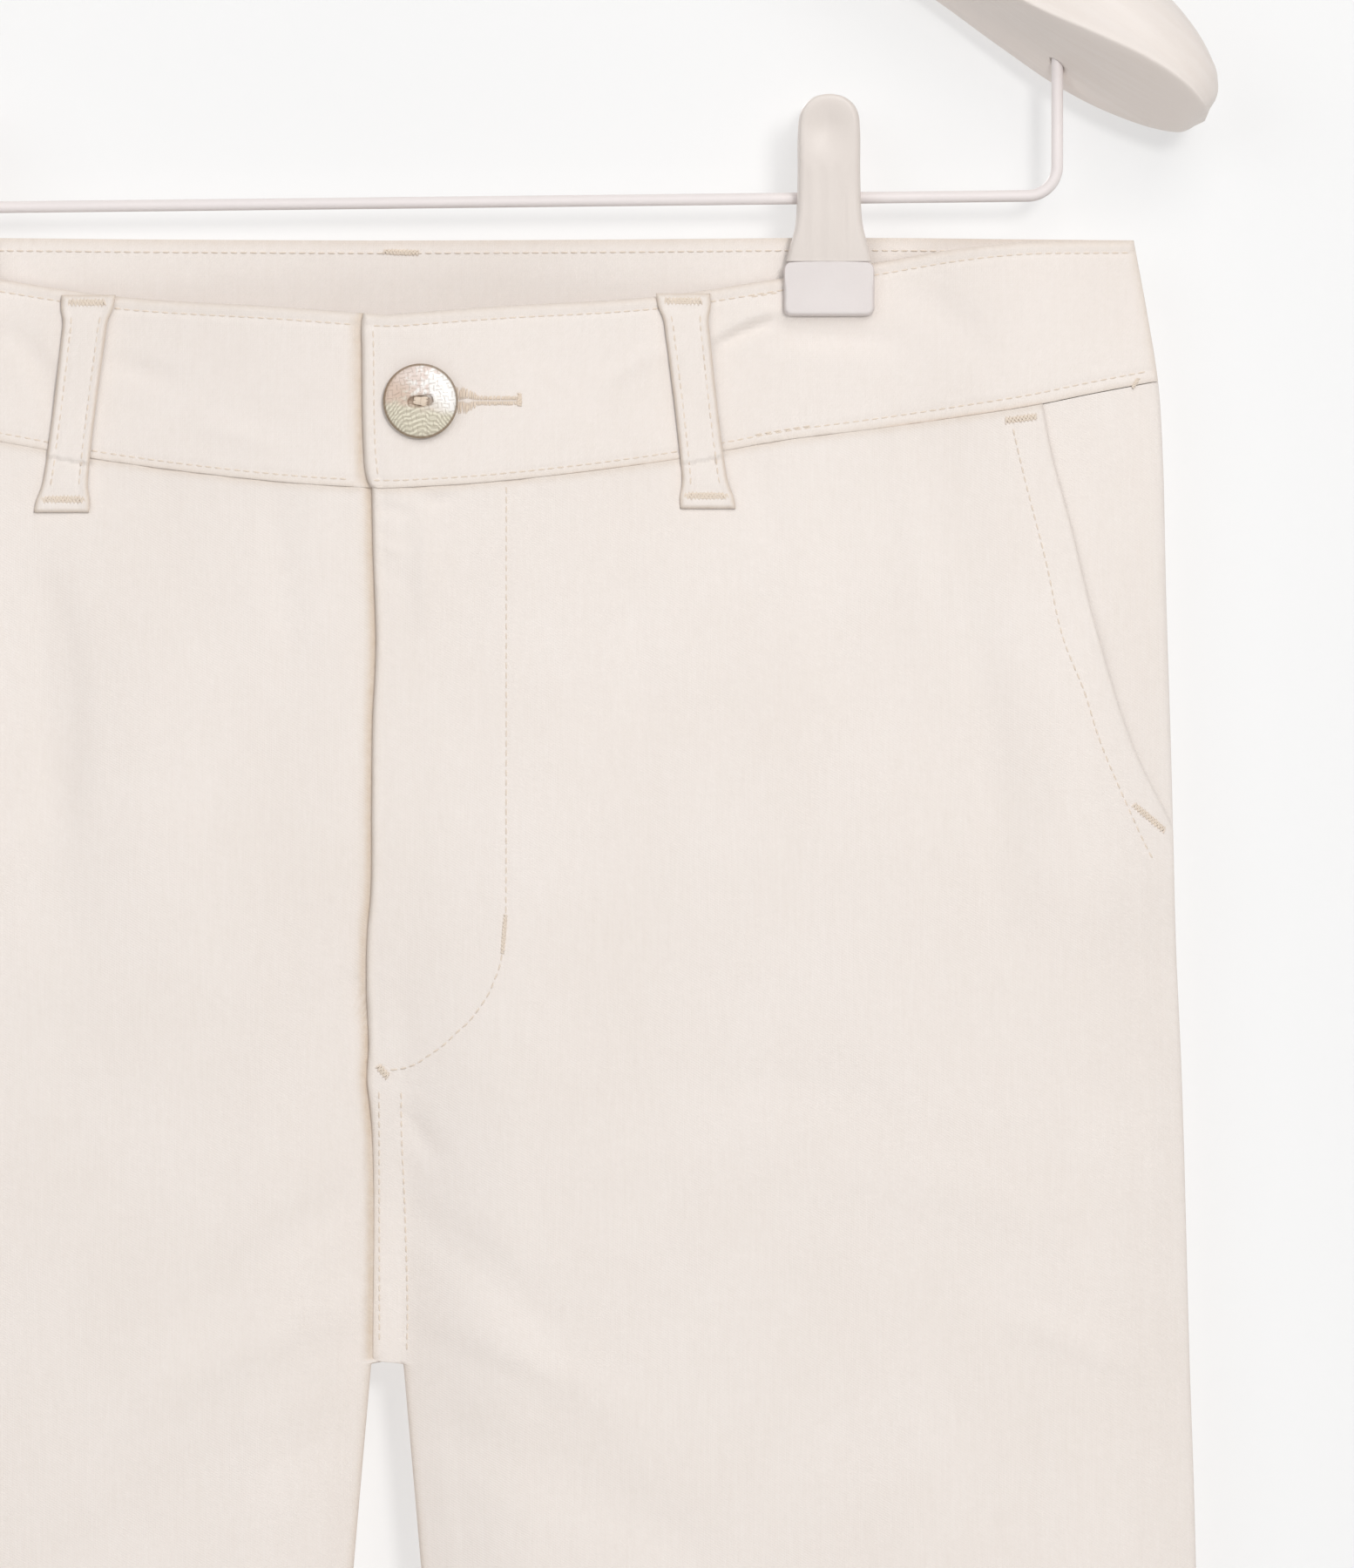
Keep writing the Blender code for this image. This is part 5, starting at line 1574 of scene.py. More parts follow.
@dataclass
class Hanger(Maker):
    """The wooden body, the wire hook and the rod."""

    tip_x: float = 218.9
    rod_height: float = 9.3
    rod_tilt: float = 0.011
    rod_side: float = 179.0
    wire: float = 1.58
    corner: float = 8.0
    hook_radius: float = 24.0
    hook_wire: float = 1.7
    hook_start: float = -38.0
    hook_stop: float = 205.0
    stations: int = 181
    cells: int = 7
    section: Tuple[Point, ...] = (
        (3, 19, 0), (-6, 19, 0), (-14, 16, 0), (-19, 9, 0), (-20, 1.2, 1), (-18.6, -2, 1),
        (-6, -8.6, 0.4), (5, -14.4, 0), (11, -17.8, 0), (14.6, -17.6, 0), (16.4, -6, 0), (15, 6, 0),
        (10, 15, 0))
    rows: Tuple[Tuple[float, ...], ...] = (
        (-40, 123.5, -4, 0.66, 0.64, -3.6), (0, 126, -4, 0.66, 0.62, -3.6),
        (40, 123.5, -4, 0.66, 0.64, -3.6), (80, 114.5, -3, 0.74, 0.72, -4.2),
        (120, 99.5, -1, 0.86, 0.86, -5), (155, 80.2, 2, 0.97, 0.98, -5.6),
        (175, 66.4, 3.5, 1, 1, -4.9), (191, 55, 5, 0.98, 1, -1.3),
        (204, 45.2, 6, 0.83, 0.92, 1.5), (212, 38.4, 6.5, 0.63, 0.78, 2.3),
        (215.6, 35.2, 6.5, 0.48, 0.62, 1.8), (217.8, 33.4, 6.5, 0.31, 0.42, 1.1),
        (218.9, 32.5, 6.5, 0.08, 0.14, 0.2))

    def body(self) -> Thing:
        """The wooden body from tip to tip, drilled for the rod.

        Returns:
            The finished piece.
        """
        table = np.array(self.rows)
        read = [Curve(*zip(table[:, 0], table[:, column])) for column in range(1, 6)]
        share = np.linspace(-1.0, 1.0, self.stations)
        stations = self.tip_x * (1.5 * share - 0.5 * share**3)
        corners = np.array(self.section, dtype=float)
        count = len(corners)
        ring = self.cells * count

        def place(turn: Array, row: Array) -> Array:
            """Place the rings' points.

            Args:
                turn: each point's share round its ring.
                row: its ring.

            Returns:
                Points in metres.
            """
            x = stations[row]
            height, forward, tall, deep, ridge = (curve(np.abs(x)) for curve in read)
            slope = (read[0](np.abs(x) + 0.5) - read[0](np.abs(np.abs(x) - 0.5))) * np.sign(x)
            slope = np.clip(slope, -1.2, 1.2)
            at = turn * count
            cell = np.floor(at + 1e-6).astype(int)
            t = at - cell
            four = [corners[(cell + shift) % count].T for shift in (-1, 0, 1, 2)]
            p0, p1, p2, p3 = (np.stack([across * deep, up * tall + crest * ridge])
                              for across, up, crest in four)
            inward, rise = 0.5 * (2 * p1 + (p2 - p0) * t + (2 * p0 - 5 * p1 + 4 * p2 - p3) * t**2
                                  + (3 * p1 - p0 - 3 * p2 + p3) * t**3)
            length = np.hypot(1.0, slope)
            z = height - self.garment.hook_above_waist + rise / length
            return np.stack([x - slope / length * rise, inward - forward, z], axis=1) * MM

        thing = self.shop.shaper.tube("wood_body", ring, len(stations) - 1, place, 50.0)
        holes = bmesh.new()
        low = -self.garment.hook_above_waist
        for x, start, end, radius in ((0.0, 127.0, 150.0, 2.05), (-self.rod_side, 30.0, 63.0, 1.95),
                                      (self.rod_side, 30.0, 63.0, 1.95)):
            middle = Vector((x, 0.0, low + 0.5 * (start + end))) * MM
            bmesh.ops.create_cone(holes, cap_ends=True, segments=32, radius1=radius * MM,
                                  radius2=radius * MM, depth=(end - start) * MM,
                                  matrix=Matrix.Translation(middle))
        cutter = self.shop.shaper.finish(holes, "drill")
        cut = thing.modifiers.new("drilled", "BOOLEAN")
        cut.solver = "EXACT"
        cut.object = cutter
        final = thing.evaluated_get(bpy.context.evaluated_depsgraph_get())
        drilled = bpy.data.meshes.new_from_object(final)
        thing.modifiers.clear()
        thing.data = drilled
        bpy.data.objects.remove(cutter, do_unlink=True)
        return self.shop.add(thing, "wood", "pale_wood", "hanger_body")

    def wires(self) -> List[Thing]:
        """The hook and the rod.

        Returns:
            The finished pieces.
        """
        low = -self.garment.hook_above_waist
        radius, thick, corner = self.hook_radius, self.hook_wire, self.corner
        centre = -radius + thick
        stem = np.stack([np.zeros(8), np.linspace(low + 128.0, low + 158.0, 8)], axis=1)
        begin = math.radians(self.hook_start)
        entry = np.array([radius * math.cos(begin), centre + radius * math.sin(begin)])
        heading = np.array([-math.sin(begin), math.cos(begin)])
        t = np.linspace(0.0, 1.0, 22)[1:-1, None]
        leave = stem[-1] + np.array([0.0, 9.0])
        bend = stem[-1] * (1 - t) ** 3 + leave * 3 * t * (1 - t) ** 2
        bend = bend + (entry - heading * 9.0) * 3 * t * t * (1 - t) + entry * t**3
        angles = np.radians(np.linspace(self.hook_start, self.hook_stop, 70))
        arch = np.stack([radius * np.cos(angles), centre + radius * np.sin(angles)], axis=1)
        hook = self.shop.shaper.rod("wire_hook", np.concatenate([stem, bend, arch]), thick)
        turn = np.radians(np.linspace(0.0, 90.0, 20))
        corners = []
        for hand in (-1.0, 1.0):
            x = hand * (self.rod_side - corner)
            z = low + self.rod_height + self.rod_tilt * x + corner
            corners.append(np.stack([x + hand * corner * np.cos(turn),
                                     z - corner * np.sin(turn)], axis=1))
        xs = np.linspace(-160.0, 160.0, 41)
        run = np.stack([xs, low + self.rod_height + self.rod_tilt * xs], axis=1)
        ends = [np.array([[hand * self.rod_side, low + 62.0]]) for hand in (-1.0, 1.0)]
        path = np.concatenate([ends[0], corners[0], run, corners[1][::-1], ends[1]])
        rod = self.shop.shaper.rod("wire_rod", path, self.wire)
        return [self.shop.add(hook, "wire", "coated_wire", "hook"),
                self.shop.add(rod, "wire", "coated_wire", "rod")]


@dataclass
class Clips(Maker):
    """The two spring clips on the rod, each with two jaws, two pads and a barrel."""

    rod_tilt: float = 0.011
    pad_half: float = 12.1
    pad_corner: float = 2.2
    pad_top: float = 6.1
    pad_bottom: float = 21.0
    half: Curve = Curve(
        (-6.2, 11.4), (-2.5, 10.5), (1, 9.5), (4, 8.9), (10, 8.5), (18, 8.3),
        (29, 8.2), (33, 7.7), (35.4, 6.4), (36.9, 4.6), (37.7, 2.8), (38, 1))
    near: Curve = Curve(
        (-6.2, 2.9), (-2.5, 3.4), (4, 4.4), (10, 4.4), (18, 6.4), (29, 8.9),
        (33.5, 9.9), (36.8, 10.6), (38, 11.2))
    far: Curve = Curve(
        (-6.2, 6.2), (-2.5, 7), (4, 8.2), (10, 9), (18, 10.2), (29, 12.4),
        (33.5, 13.4), (36.8, 13.6), (38, 13.3))

    def jaw(self, label: str, x: float, side: Side) -> Thing:
        """One finger plate with its thumb dish and its fluted lower half.

        Args:
            label: the end of its name.
            x: the middle of its clip.
            side: front or back.

        Returns:
            The finished piece.
        """
        low = -self.garment.hook_above_waist
        span = grade((0.05, 1), (0.12, 1), (0.22, 1), (1.78, 26), (1.88, 1), (1.95, 1),
                     (2.0, 1)) - 1.0
        levels = np.concatenate([[-6.4, -6.2, -5.8, -5.1], np.linspace(-4.2, 36.0, 62),
                                 [36.7, 37.2, 37.6, 37.9, 38.0]])

        def place(column: Array, row: Array, outer: Array) -> Tuple[Array, Array]:
            """Place the shell's points.

            Args:
                column: each point's grid column.
                row: its grid row.
                outer: whether it is on the outer face.

            Returns:
                Points in metres, and an edge tint amount for each, which the plastic does not read.
            """
            across, z = span[column], levels[row]
            half = self.half(z)
            offset = across * half
            ends = np.minimum((z + 6.4) * 3.0 + 1.0, 38.0 - z) + 0.35
            edge = np.minimum(half - np.abs(offset), ends)
            near, far = self.near(z), self.far(z)
            dish = -2.0 * bell(np.hypot(offset + 1.0, (z - 29.5) * 0.8), 5.4)
            flute = 0.12 * np.cos(2 * np.pi * offset / 4.4) * smooth((20.0 - z) / 3.0)
            flute = flute * fade(np.abs(offset), 6.2, 1.6)
            line = -0.35 * bell(offset - 4.2, 0.45) * smooth((14.0 - z) / 3.0)
            crown = 0.5 * (1.0 - across * across)
            top = lerp(near, far + dish + flute + line + crown - 0.4, rounding(edge, 1.3))
            y = side.value * np.where(outer, top, near)
            points = np.stack([x + offset, y, low + z], axis=1) * MM
            return points, np.exp(-((edge / 1.0) ** 2))

        thing = self.shop.shaper.shell(f"jaw_{label}", len(span) - 1, len(levels) - 1, place)
        return self.shop.add(thing, "plastic", "clip_plastic", f"clip_{label}")

    def pad(self, label: str, x: float, side: Side) -> Thing:
        """One soft pad with rounded corners and a slightly hollow face.

        Args:
            label: the end of its name.
            x: the middle of its clip.
            side: front or back.

        Returns:
            The finished piece.
        """
        low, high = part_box(f"clip_{label}")
        half, corner = self.pad_half, self.pad_corner
        waist = -self.garment.hook_above_waist
        top, bottom = waist - self.pad_top, waist - self.pad_bottom
        faces = sorted((abs(low[1]) / MM, abs(high[1]) / MM))
        cells, rows = 40, 30

        def place(column: Array, row: Array, outer: Array) -> Tuple[Array, Array]:
            """Place the shell's points.

            Args:
                column: each point's grid column.
                row: its grid row.
                outer: whether it is on the outer face.

            Returns:
                Points in metres, and the tint amount of each, which is nil here.
            """
            u = np.sin(0.5 * np.pi * (2 * column / cells - 1))
            v = np.sin(0.5 * np.pi * (2 * row / rows - 1))
            tall = 0.5 * (top - bottom)
            px, pz = u * half, v * tall
            over_x = np.maximum(np.abs(px) - (half - corner), 0.0)
            over_z = np.maximum(np.abs(pz) - (tall - corner), 0.0)
            reach = np.hypot(over_x, over_z)
            biggest = np.maximum(np.maximum(over_x, over_z), 1e-9)
            pull = np.where(reach > 0, biggest / np.maximum(reach, 1e-9), 1.0)
            px = np.sign(px) * (np.minimum(np.abs(px), half - corner) + over_x * pull)
            pz = np.sign(pz) * (np.minimum(np.abs(pz), tall - corner) + over_z * pull)
            edge = np.maximum(corner - biggest, 0.0)
            hollow = 0.35 * bell(np.hypot(px / half, pz / tall), 0.75)
            soft = rounding(edge, lerp(0.9, 0.35, smooth(pz / tall * 3.0)))
            face = lerp(faces[0] + 0.1, faces[1] - hollow, soft)
            y = side.value * np.where(outer, face, faces[0])
            bow = 0.5 * (px / half) ** 2 * (pz > 0)
            return np.stack([x + px, y, 0.5 * (top + bottom) + pz - bow], axis=1) * MM, 0.0 * px

        thing = self.shop.shaper.shell(f"pad_{label}", cells, rows, place)
        return self.shop.add(thing, "rubber", "clip_rubber", f"clip_{label}")

    def barrel(self, label: str, x: float) -> Thing:
        """The ridged sleeve on the rod between two jaws.

        Args:
            label: the end of its name.
            x: the middle of its clip.

        Returns:
            The finished piece.
        """
        low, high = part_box(f"clip_{label}_barrel")
        centre = Vector(((low[0] + high[0]) / 2, 0.0, (low[2] + high[2]) / 2)) / MM
        outline = [(6.9, 1.85), (7.0, 2.1), (7.0, 3.6), (6.8, 3.9), (6.4, 4.0)]
        for ridge in np.linspace(5.6, -5.6, 57):
            outline.append((float(ridge), 3.86 + 0.12 * math.cos(ridge * math.pi / 0.7)))
        outline += [(-6.4, 4.0), (-6.8, 3.9), (-7.0, 3.6), (-7.0, 2.1), (-6.9, 1.85)]
        shape = np.array(outline)
        closed = np.concatenate([shape, shape[:1]])

        def place(turn: Array, row: Array) -> Array:
            """Place the rings' points.

            Args:
                turn: each point's share round its ring.
                row: its ring.

            Returns:
                Points in metres.
            """
            angle = 2 * np.pi * turn
            along, radius = closed[row, 0], closed[row, 1]
            z = centre.z + self.rod_tilt * along + radius * np.sin(angle)
            return np.stack([centre.x + along, radius * np.cos(angle), z], axis=1) * MM

        thing = self.shop.shaper.tube(f"barrel_{label}", 40, len(closed) - 1, place, 50.0)
        return self.shop.add(thing, "plastic", "clip_plastic", f"clip_{label}_barrel")

    def build(self) -> None:
        """Make both clips."""
        for hand, word in ((-1.0, "left"), (1.0, "right")):
            x = hand * self.garment.clip_x
            for side in (F, B):
                name = side.name.lower()
                self.jaw(f"{word}_jaw_{name}", x, side)
                self.pad(f"{word}_pad_{name}", x, side)
            self.barrel(word, x)


Value = Union["Link", float, int, Tuple[float, ...]]


class Link:
    """A node's output socket, with arithmetic that makes Math nodes."""

    def __init__(self, book: "Book", socket: bpy.types.NodeSocket) -> None:
        """Wrap a socket of a book's node tree."""
        self.book = book
        self.socket = socket

    def math(self, operation: str, *others: Value, first: Optional[Value] = None) -> "Link":
        """Run a Math node on this link.

        Args:
            operation: the Math node's operation.
            others: the values after this one.
            first: a value to put before this one.

        Returns:
            The result.
        """
        values = ([] if first is None else [first]) + [self, *others]
        sockets = dict(enumerate(values))
        return self.book.add("ShaderNodeMath", {"operation": operation}, sockets)

    def __add__(self, other: Value) -> "Link":
        """Sum."""
        return self.math("ADD", other)

    __radd__ = __add__

    def __mul__(self, other: Value) -> "Link":
        """Product."""
        return self.math("MULTIPLY", other)

    __rmul__ = __mul__

    def __sub__(self, other: Value) -> "Link":
        """Difference."""
        return self.math("SUBTRACT", other)

    def __rsub__(self, other: Value) -> "Link":
        """Difference from a value, so that 1 - mask works."""
        return self.math("SUBTRACT", first=other)

    def step(self, low: float, high: float) -> "Link":
        """Ease from 0 to 1 between two values."""
        settings = {"interpolation_type": "SMOOTHSTEP", "clamp": True}
        return self.book.add("ShaderNodeMapRange", settings, {0: self, 1: low, 2: high})


class Book:
    """One material's nodes."""

    def __init__(self, name: str, roughness: float) -> None:
        """Start a material.

        Args:
            name: its name.
            roughness: the roughness where nothing varies it.
        """
        self.material = bpy.data.materials.new(name)
        self.material.use_nodes = True
        self.tree = self.material.node_tree
        self.shader = self.tree.nodes["Principled BSDF"]
        self.shader.inputs["Roughness"].default_value = roughness

    def add(self, kind: str, settings: Optional[Dict[str, Any]] = None,
            sockets: Optional[Dict[Union[str, int], Value]] = None,
            out: Union[str, int] = 0) -> Link:
        """Add a node.

        Args:
            kind: the node's type.
            settings: properties set before its sockets.
            sockets: values or links by socket name or index.
            out: the output to return.

        Returns:
            That output.
        """
        node = self.tree.nodes.new(kind)
        for key, value in (settings or {}).items():
            setattr(node, key, value)
        for key, value in (sockets or {}).items():
            self.feed(node.inputs[key], value)
        return Link(self, node.outputs[out])

    def feed(self, socket: bpy.types.NodeSocket, value: Value) -> None:
        """Link or set one input.

        Args:
            socket: the input.
            value: a link or what to set.
        """
        if isinstance(value, Link):
            self.tree.links.new(value.socket, socket)
        else:
            socket.default_value = value

    def set(self, name: str, value: Value) -> None:
        """Link or set one of the shader's inputs."""
        self.feed(self.shader.inputs[name], value)

    def place(self, scale: float = 1000.0) -> Link:
        """Object coordinates, in millimetres unless scaled otherwise."""
        spot = self.add("ShaderNodeTexCoord", out="Object")
        return self.add("ShaderNodeVectorMath", {"operation": "SCALE"}, {0: spot, "Scale": scale})

    def axes(self, spot: Link) -> Tuple[Link, Link, Link]:
        """The three numbers of a vector.

        Args:
            spot: a link to the vector.

        Returns:
            Its x, y and z.
        """
        node = self.tree.nodes.new("ShaderNodeSeparateXYZ")
        self.tree.links.new(spot.socket, node.inputs[0])
        return tuple(Link(self, output) for output in node.outputs)

    def noise(self, spot: Link, size: float, detail: float = 2.0, rough: float = 0.5) -> Link:
        """Smooth noise whose lumps are about a size in the spot's units."""
        return self.add("ShaderNodeTexNoise", {"noise_dimensions": "3D"},
                        {"Vector": spot, "Scale": 1.0 / size, "Detail": detail, "Roughness": rough})

    def stretch(self, spot: Link, x: float, y: float, z: float) -> Link:
        """Scale a vector's axes."""
        return self.add("ShaderNodeVectorMath", {"operation": "MULTIPLY"}, {0: spot, 1: (x, y, z)})

    def mix(self, share: Value, first: Value, second: Value) -> Link:
        """Mix two colours."""
        return self.add("ShaderNodeMix", {"data_type": "RGBA", "clamp_factor": True},
                        {0: share, 6: first, 7: second}, out=2)

    def wave(self, along: Link, pitch: float) -> Link:
        """A sine from 0 to 1 with a pitch."""
        return (along * (2.0 * math.pi / pitch)).math("SINE") * 0.5 + 0.5

    def finish(self, colour: Value, roughness: Value, height: Link, strength: float,
               distance: float) -> Material:
        """Feed the shader.

        Args:
            colour: a link to the base colour.
            roughness: a link to the roughness.
            height: a link to the height that tilts the normal.
            strength: the bump's strength.
            distance: its distance in metres.

        Returns:
            The material.
        """
        self.set("Base Color", colour)
        self.set("Roughness", roughness)
        self.set("Normal", self.add("ShaderNodeBump", {}, {
            "Strength": strength, "Distance": distance, "Height": height}))
        return self.material

    def wear_and_painted_shade(self) -> Link:
        """The tint amount kept on the mesh: wear along edges, painted shade in seams and painted
        shadow beside the fly and the tab.
        """
        return self.add("ShaderNodeAttribute", {"attribute_name": "wear_and_painted_shade"}, out="Fac")


@dataclass(frozen=True)
class Twill:
    """Cotton twill: slanting ribs, crossing yarns and slubs, with a tan tint that is partly edge
    wear and partly painted shade and shadow.
    """

    name: str
    base: Colour
    shade: Colour
    worn_and_shaded: Colour
    slant: float
    pitch: float = 0.62

    def build(self) -> Material:
        """Make the material.

        Returns:
            The material.
        """
        book = Book(self.name, 0.86)
        spot = book.place()
        x, _, z = book.axes(spot)
        wobble = book.noise(spot, 5.0, 1.0)
        angle = math.radians(self.slant)
        rib = book.wave(x * math.cos(angle) + z * math.sin(angle) + wobble * 0.35, self.pitch)
        warp = book.wave(x + wobble * 0.2, 0.47)
        weft = book.wave(z + wobble * 0.2, 0.53)
        slub = book.noise(book.stretch(spot, 1.0, 1.0, 0.07), 0.75, 2.0)
        nap = book.noise(spot, 0.45, 3.0, 0.6)
        cloud = book.noise(spot, 46.0, 3.0, 0.55)
        grain = book.noise(spot, 2.6, 4.0, 0.62)
        tone = (cloud - 0.5) * 0.9 + (grain - 0.5) * 0.55 + (slub - 0.5) * 0.6 + (rib - 0.5) * 0.1
        colour = book.mix(tone + 0.42, self.base, self.shade)
        # Tan tint from the mesh attribute: partly wear along edges, partly painted shade in seams
        # and painted shadow beside the fly and the tab.
        colour = book.mix(book.wear_and_painted_shade() * (grain * 0.6 + 0.4) * 0.9, colour, self.worn_and_shaded)
        book.set("Sheen Weight", 0.12)
        book.set("Sheen Roughness", 0.6)
        book.set("Specular IOR Level", 0.25)
        height = rib * 0.35 + warp * weft * 0.35 + slub * 0.8 + nap * 0.35 + grain * 0.6
        return book.finish(colour, nap * 0.18 + 0.76, height, 0.42, 0.00016)


@dataclass(frozen=True)
class Thread:
    """Twisted sewing thread."""

    name: str
    base: Colour
    shade: Colour

    def build(self) -> Material:
        """Make the material.

        Returns:
            The material.
        """
        book = Book(self.name, 0.6)
        spot = book.place()
        x, y, z = book.axes(spot)
        twist = book.wave(x + z + y, 0.34)
        fuzz = book.noise(spot, 0.3, 2.0)
        cloud = book.noise(spot, 9.0, 2.0)
        colour = book.mix(fuzz * 0.5 + cloud * 0.5, self.base, self.shade)
        book.set("Sheen Weight", 0.2)
        return book.finish(colour, fuzz * 0.25 + 0.5, twist * 0.6 + fuzz * 0.4, 0.5, 0.00012)


@dataclass(frozen=True)
class Shell:
    """Polished shell: soft bands of colour, engraved crossing lines and a brown rim, with a painted
    highlight towards the upper right and painted shade low down and in the recess.
    """

    name: str
    centre: Point

    def build(self) -> Material:
        """Make the material.

        Returns:
            The material.
        """
        book = Book(self.name, 0.22)
        spot = book.add("ShaderNodeVectorMath", {"operation": "SUBTRACT"},
                        {0: book.place(), 1: self.centre})
        x, _, z = book.axes(spot)
        radius = (x * x + z * z).math("SQRT")
        drift = book.noise(spot, 6.0, 3.0)
        fine = book.noise(spot, 1.4, 2.0)
        upright = book.wave(x + drift * 2.6 + z * 0.1, 1.15).step(0.03, 0.3)
        level = book.wave(z + drift * 2.8 - x * 0.12, 1.05).step(0.03, 0.3)
        cells = (x * 1.9 + drift * 3.0).math("SINE") * (z * 2.0 + drift * 2.0).math("SINE")
        cells = cells.step(-0.1, 0.1)
        weave = upright * cells + level * (1 - cells)
        arcs = book.wave(z + x * x * 0.08 + (x * 1.3 + drift * 9.0).math("SINE") * 0.4, 1.35)
        # Lower part: olive with pale arcs. The olive tint is the shell's own; its darkness towards
        # the bottom is painted shade.
        low = (drift * 3.0 - z * 0.55 - x * 0.1).step(1.7, 3.4)
        # Painted highlight: the pearl grows paler towards the upper right.
        painted_highlight = (x * 0.1 + z * 0.13 + drift).step(0.1, 1.2)
        pearl = book.mix(painted_highlight, (0.70, 0.61, 0.51, 1.0), (0.96, 0.93, 0.90, 1.0))
        blush = (fine * 1.6 - x * 0.05 + z * 0.03).step(0.75, 1.1)
        pearl = book.mix(blush * 0.5, pearl, (0.62, 0.40, 0.31, 1.0))
        olive = book.mix(arcs.step(0.05, 1.0), (0.55, 0.50, 0.39, 1.0), (0.80, 0.75, 0.61, 1.0))
        colour = book.mix(low, pearl, olive)
        colour = book.mix((1 - weave) * 0.33, colour, (0.33, 0.26, 0.19, 1.0))
        pill = (x * x * 0.2 + z * z).math("SQRT")
        rim = radius.step(9.2, 9.6)
        colour = book.mix(rim * 0.85, colour, (0.24, 0.16, 0.09, 1.0))
        # Dark brown inside the pill recess: painted shade.
        colour = book.mix((1 - pill.step(1.1, 1.9)) * 0.75, colour, (0.30, 0.20, 0.13, 1.0))
        book.set("Coat Weight", 0.3)
        book.set("Coat Roughness", 0.2)
        height = weave * 0.7 + arcs * 0.4 + drift * 0.4
        return book.finish(colour, fine * 0.2 + 0.2, height, 0.6, 0.00012)


@dataclass(frozen=True)
class Wood:
    """Whitewashed wood with grain along each arm."""

    name: str

    def build(self) -> Material:
        """Make the material.

        Returns:
            The material.
        """
        book = Book(self.name, 0.58)
        spot = book.place()
        x, y, z = book.axes(spot)
        reach = x.math("ABSOLUTE")
        angle = math.radians(33.0)
        along = reach * math.cos(angle) - z * math.sin(angle)
        across = reach * math.sin(angle) + z * math.cos(angle)
        flow = book.add("ShaderNodeCombineXYZ", {}, {0: along * 0.045, 1: y * 0.8, 2: across * 0.8})
        grain = book.noise(flow, 1.6, 5.0, 0.6)
        pores = book.noise(book.stretch(flow, 2.0, 3.2, 3.2), 1.0, 3.0, 0.7)
        rings = book.wave(across + y * 0.5 + grain * 6.0, 5.2)
        wash = book.noise(spot, 28.0, 3.0)
        colour = book.mix(grain * 0.6 + rings * 0.2, (0.82, 0.755, 0.71, 1.0),
                          (0.745, 0.66, 0.60, 1.0))
        colour = book.mix(pores.step(0.58, 0.74) * 0.16, colour, (0.60, 0.49, 0.42, 1.0))
        colour = book.mix(wash * 0.4, colour, (0.82, 0.77, 0.745, 1.0))
        height = grain * 0.7 + pores * 0.5 + rings * 0.2
        return book.finish(colour, grain * 0.22 + 0.42, height, 0.2, 0.00015)


@dataclass(frozen=True)
class Moulded:
    """A moulded, painted or rubbery surface with fine grain and handling marks."""

    name: str
    base: Colour
    shade: Colour
    roughness: float
    grain: float
    coat: float = 0.0

    def build(self) -> Material:
        """Make the material.

        Returns:
            The material.
        """
        book = Book(self.name, self.roughness)
        spot = book.place()
        cloud = book.noise(spot, 12.0, 3.0)
        speck = book.noise(spot, self.grain, 3.0, 0.6)
        scuff = book.noise(book.stretch(spot, 0.25, 1.0, 1.6), 0.6, 2.0).step(0.6, 0.78)
        book.set("Coat Weight", self.coat)
        colour = book.mix(cloud * 0.7 + speck * 0.3, self.base, self.shade)
        rough = speck * 0.16 + scuff * 0.1 + self.roughness - 0.08
        return book.finish(colour, rough, speck * 0.7 + cloud * 0.3 - scuff * 0.2, 0.2, 0.0001)


@dataclass(frozen=True)
class Backdrop:
    """Pale paint; where see_through is set it is clear from behind and casts no shadow."""

    name: str
    base: Colour
    glow: float
    see_through: bool

    def build(self) -> Material:
        """Make the material.

        Returns:
            The material.
        """
        book = Book(self.name, 0.9)
        spot = book.place()
        grain = book.noise(spot, 90.0, 3.0)
        tint = tuple(0.985 * channel for channel in self.base[:3]) + (1.0,)
        book.set("Base Color", book.mix(grain, self.base, tint))
        book.set("Specular IOR Level", 0.0)
        book.set("Emission Color", self.base)
        book.set("Emission Strength", self.glow)
        if self.see_through:
            back = book.add("ShaderNodeNewGeometry", out="Backfacing")
            back = back.math("MAXIMUM", book.add("ShaderNodeLightPath", out="Is Shadow Ray"))
            clear = book.add("ShaderNodeBsdfTransparent")
            solid = Link(book, book.shader.outputs[0])
            mixed = book.add("ShaderNodeMixShader", {}, {0: back, 1: solid, 2: clear})
            book.feed(book.tree.nodes["Material Output"].inputs["Surface"], mixed)
        return book.material


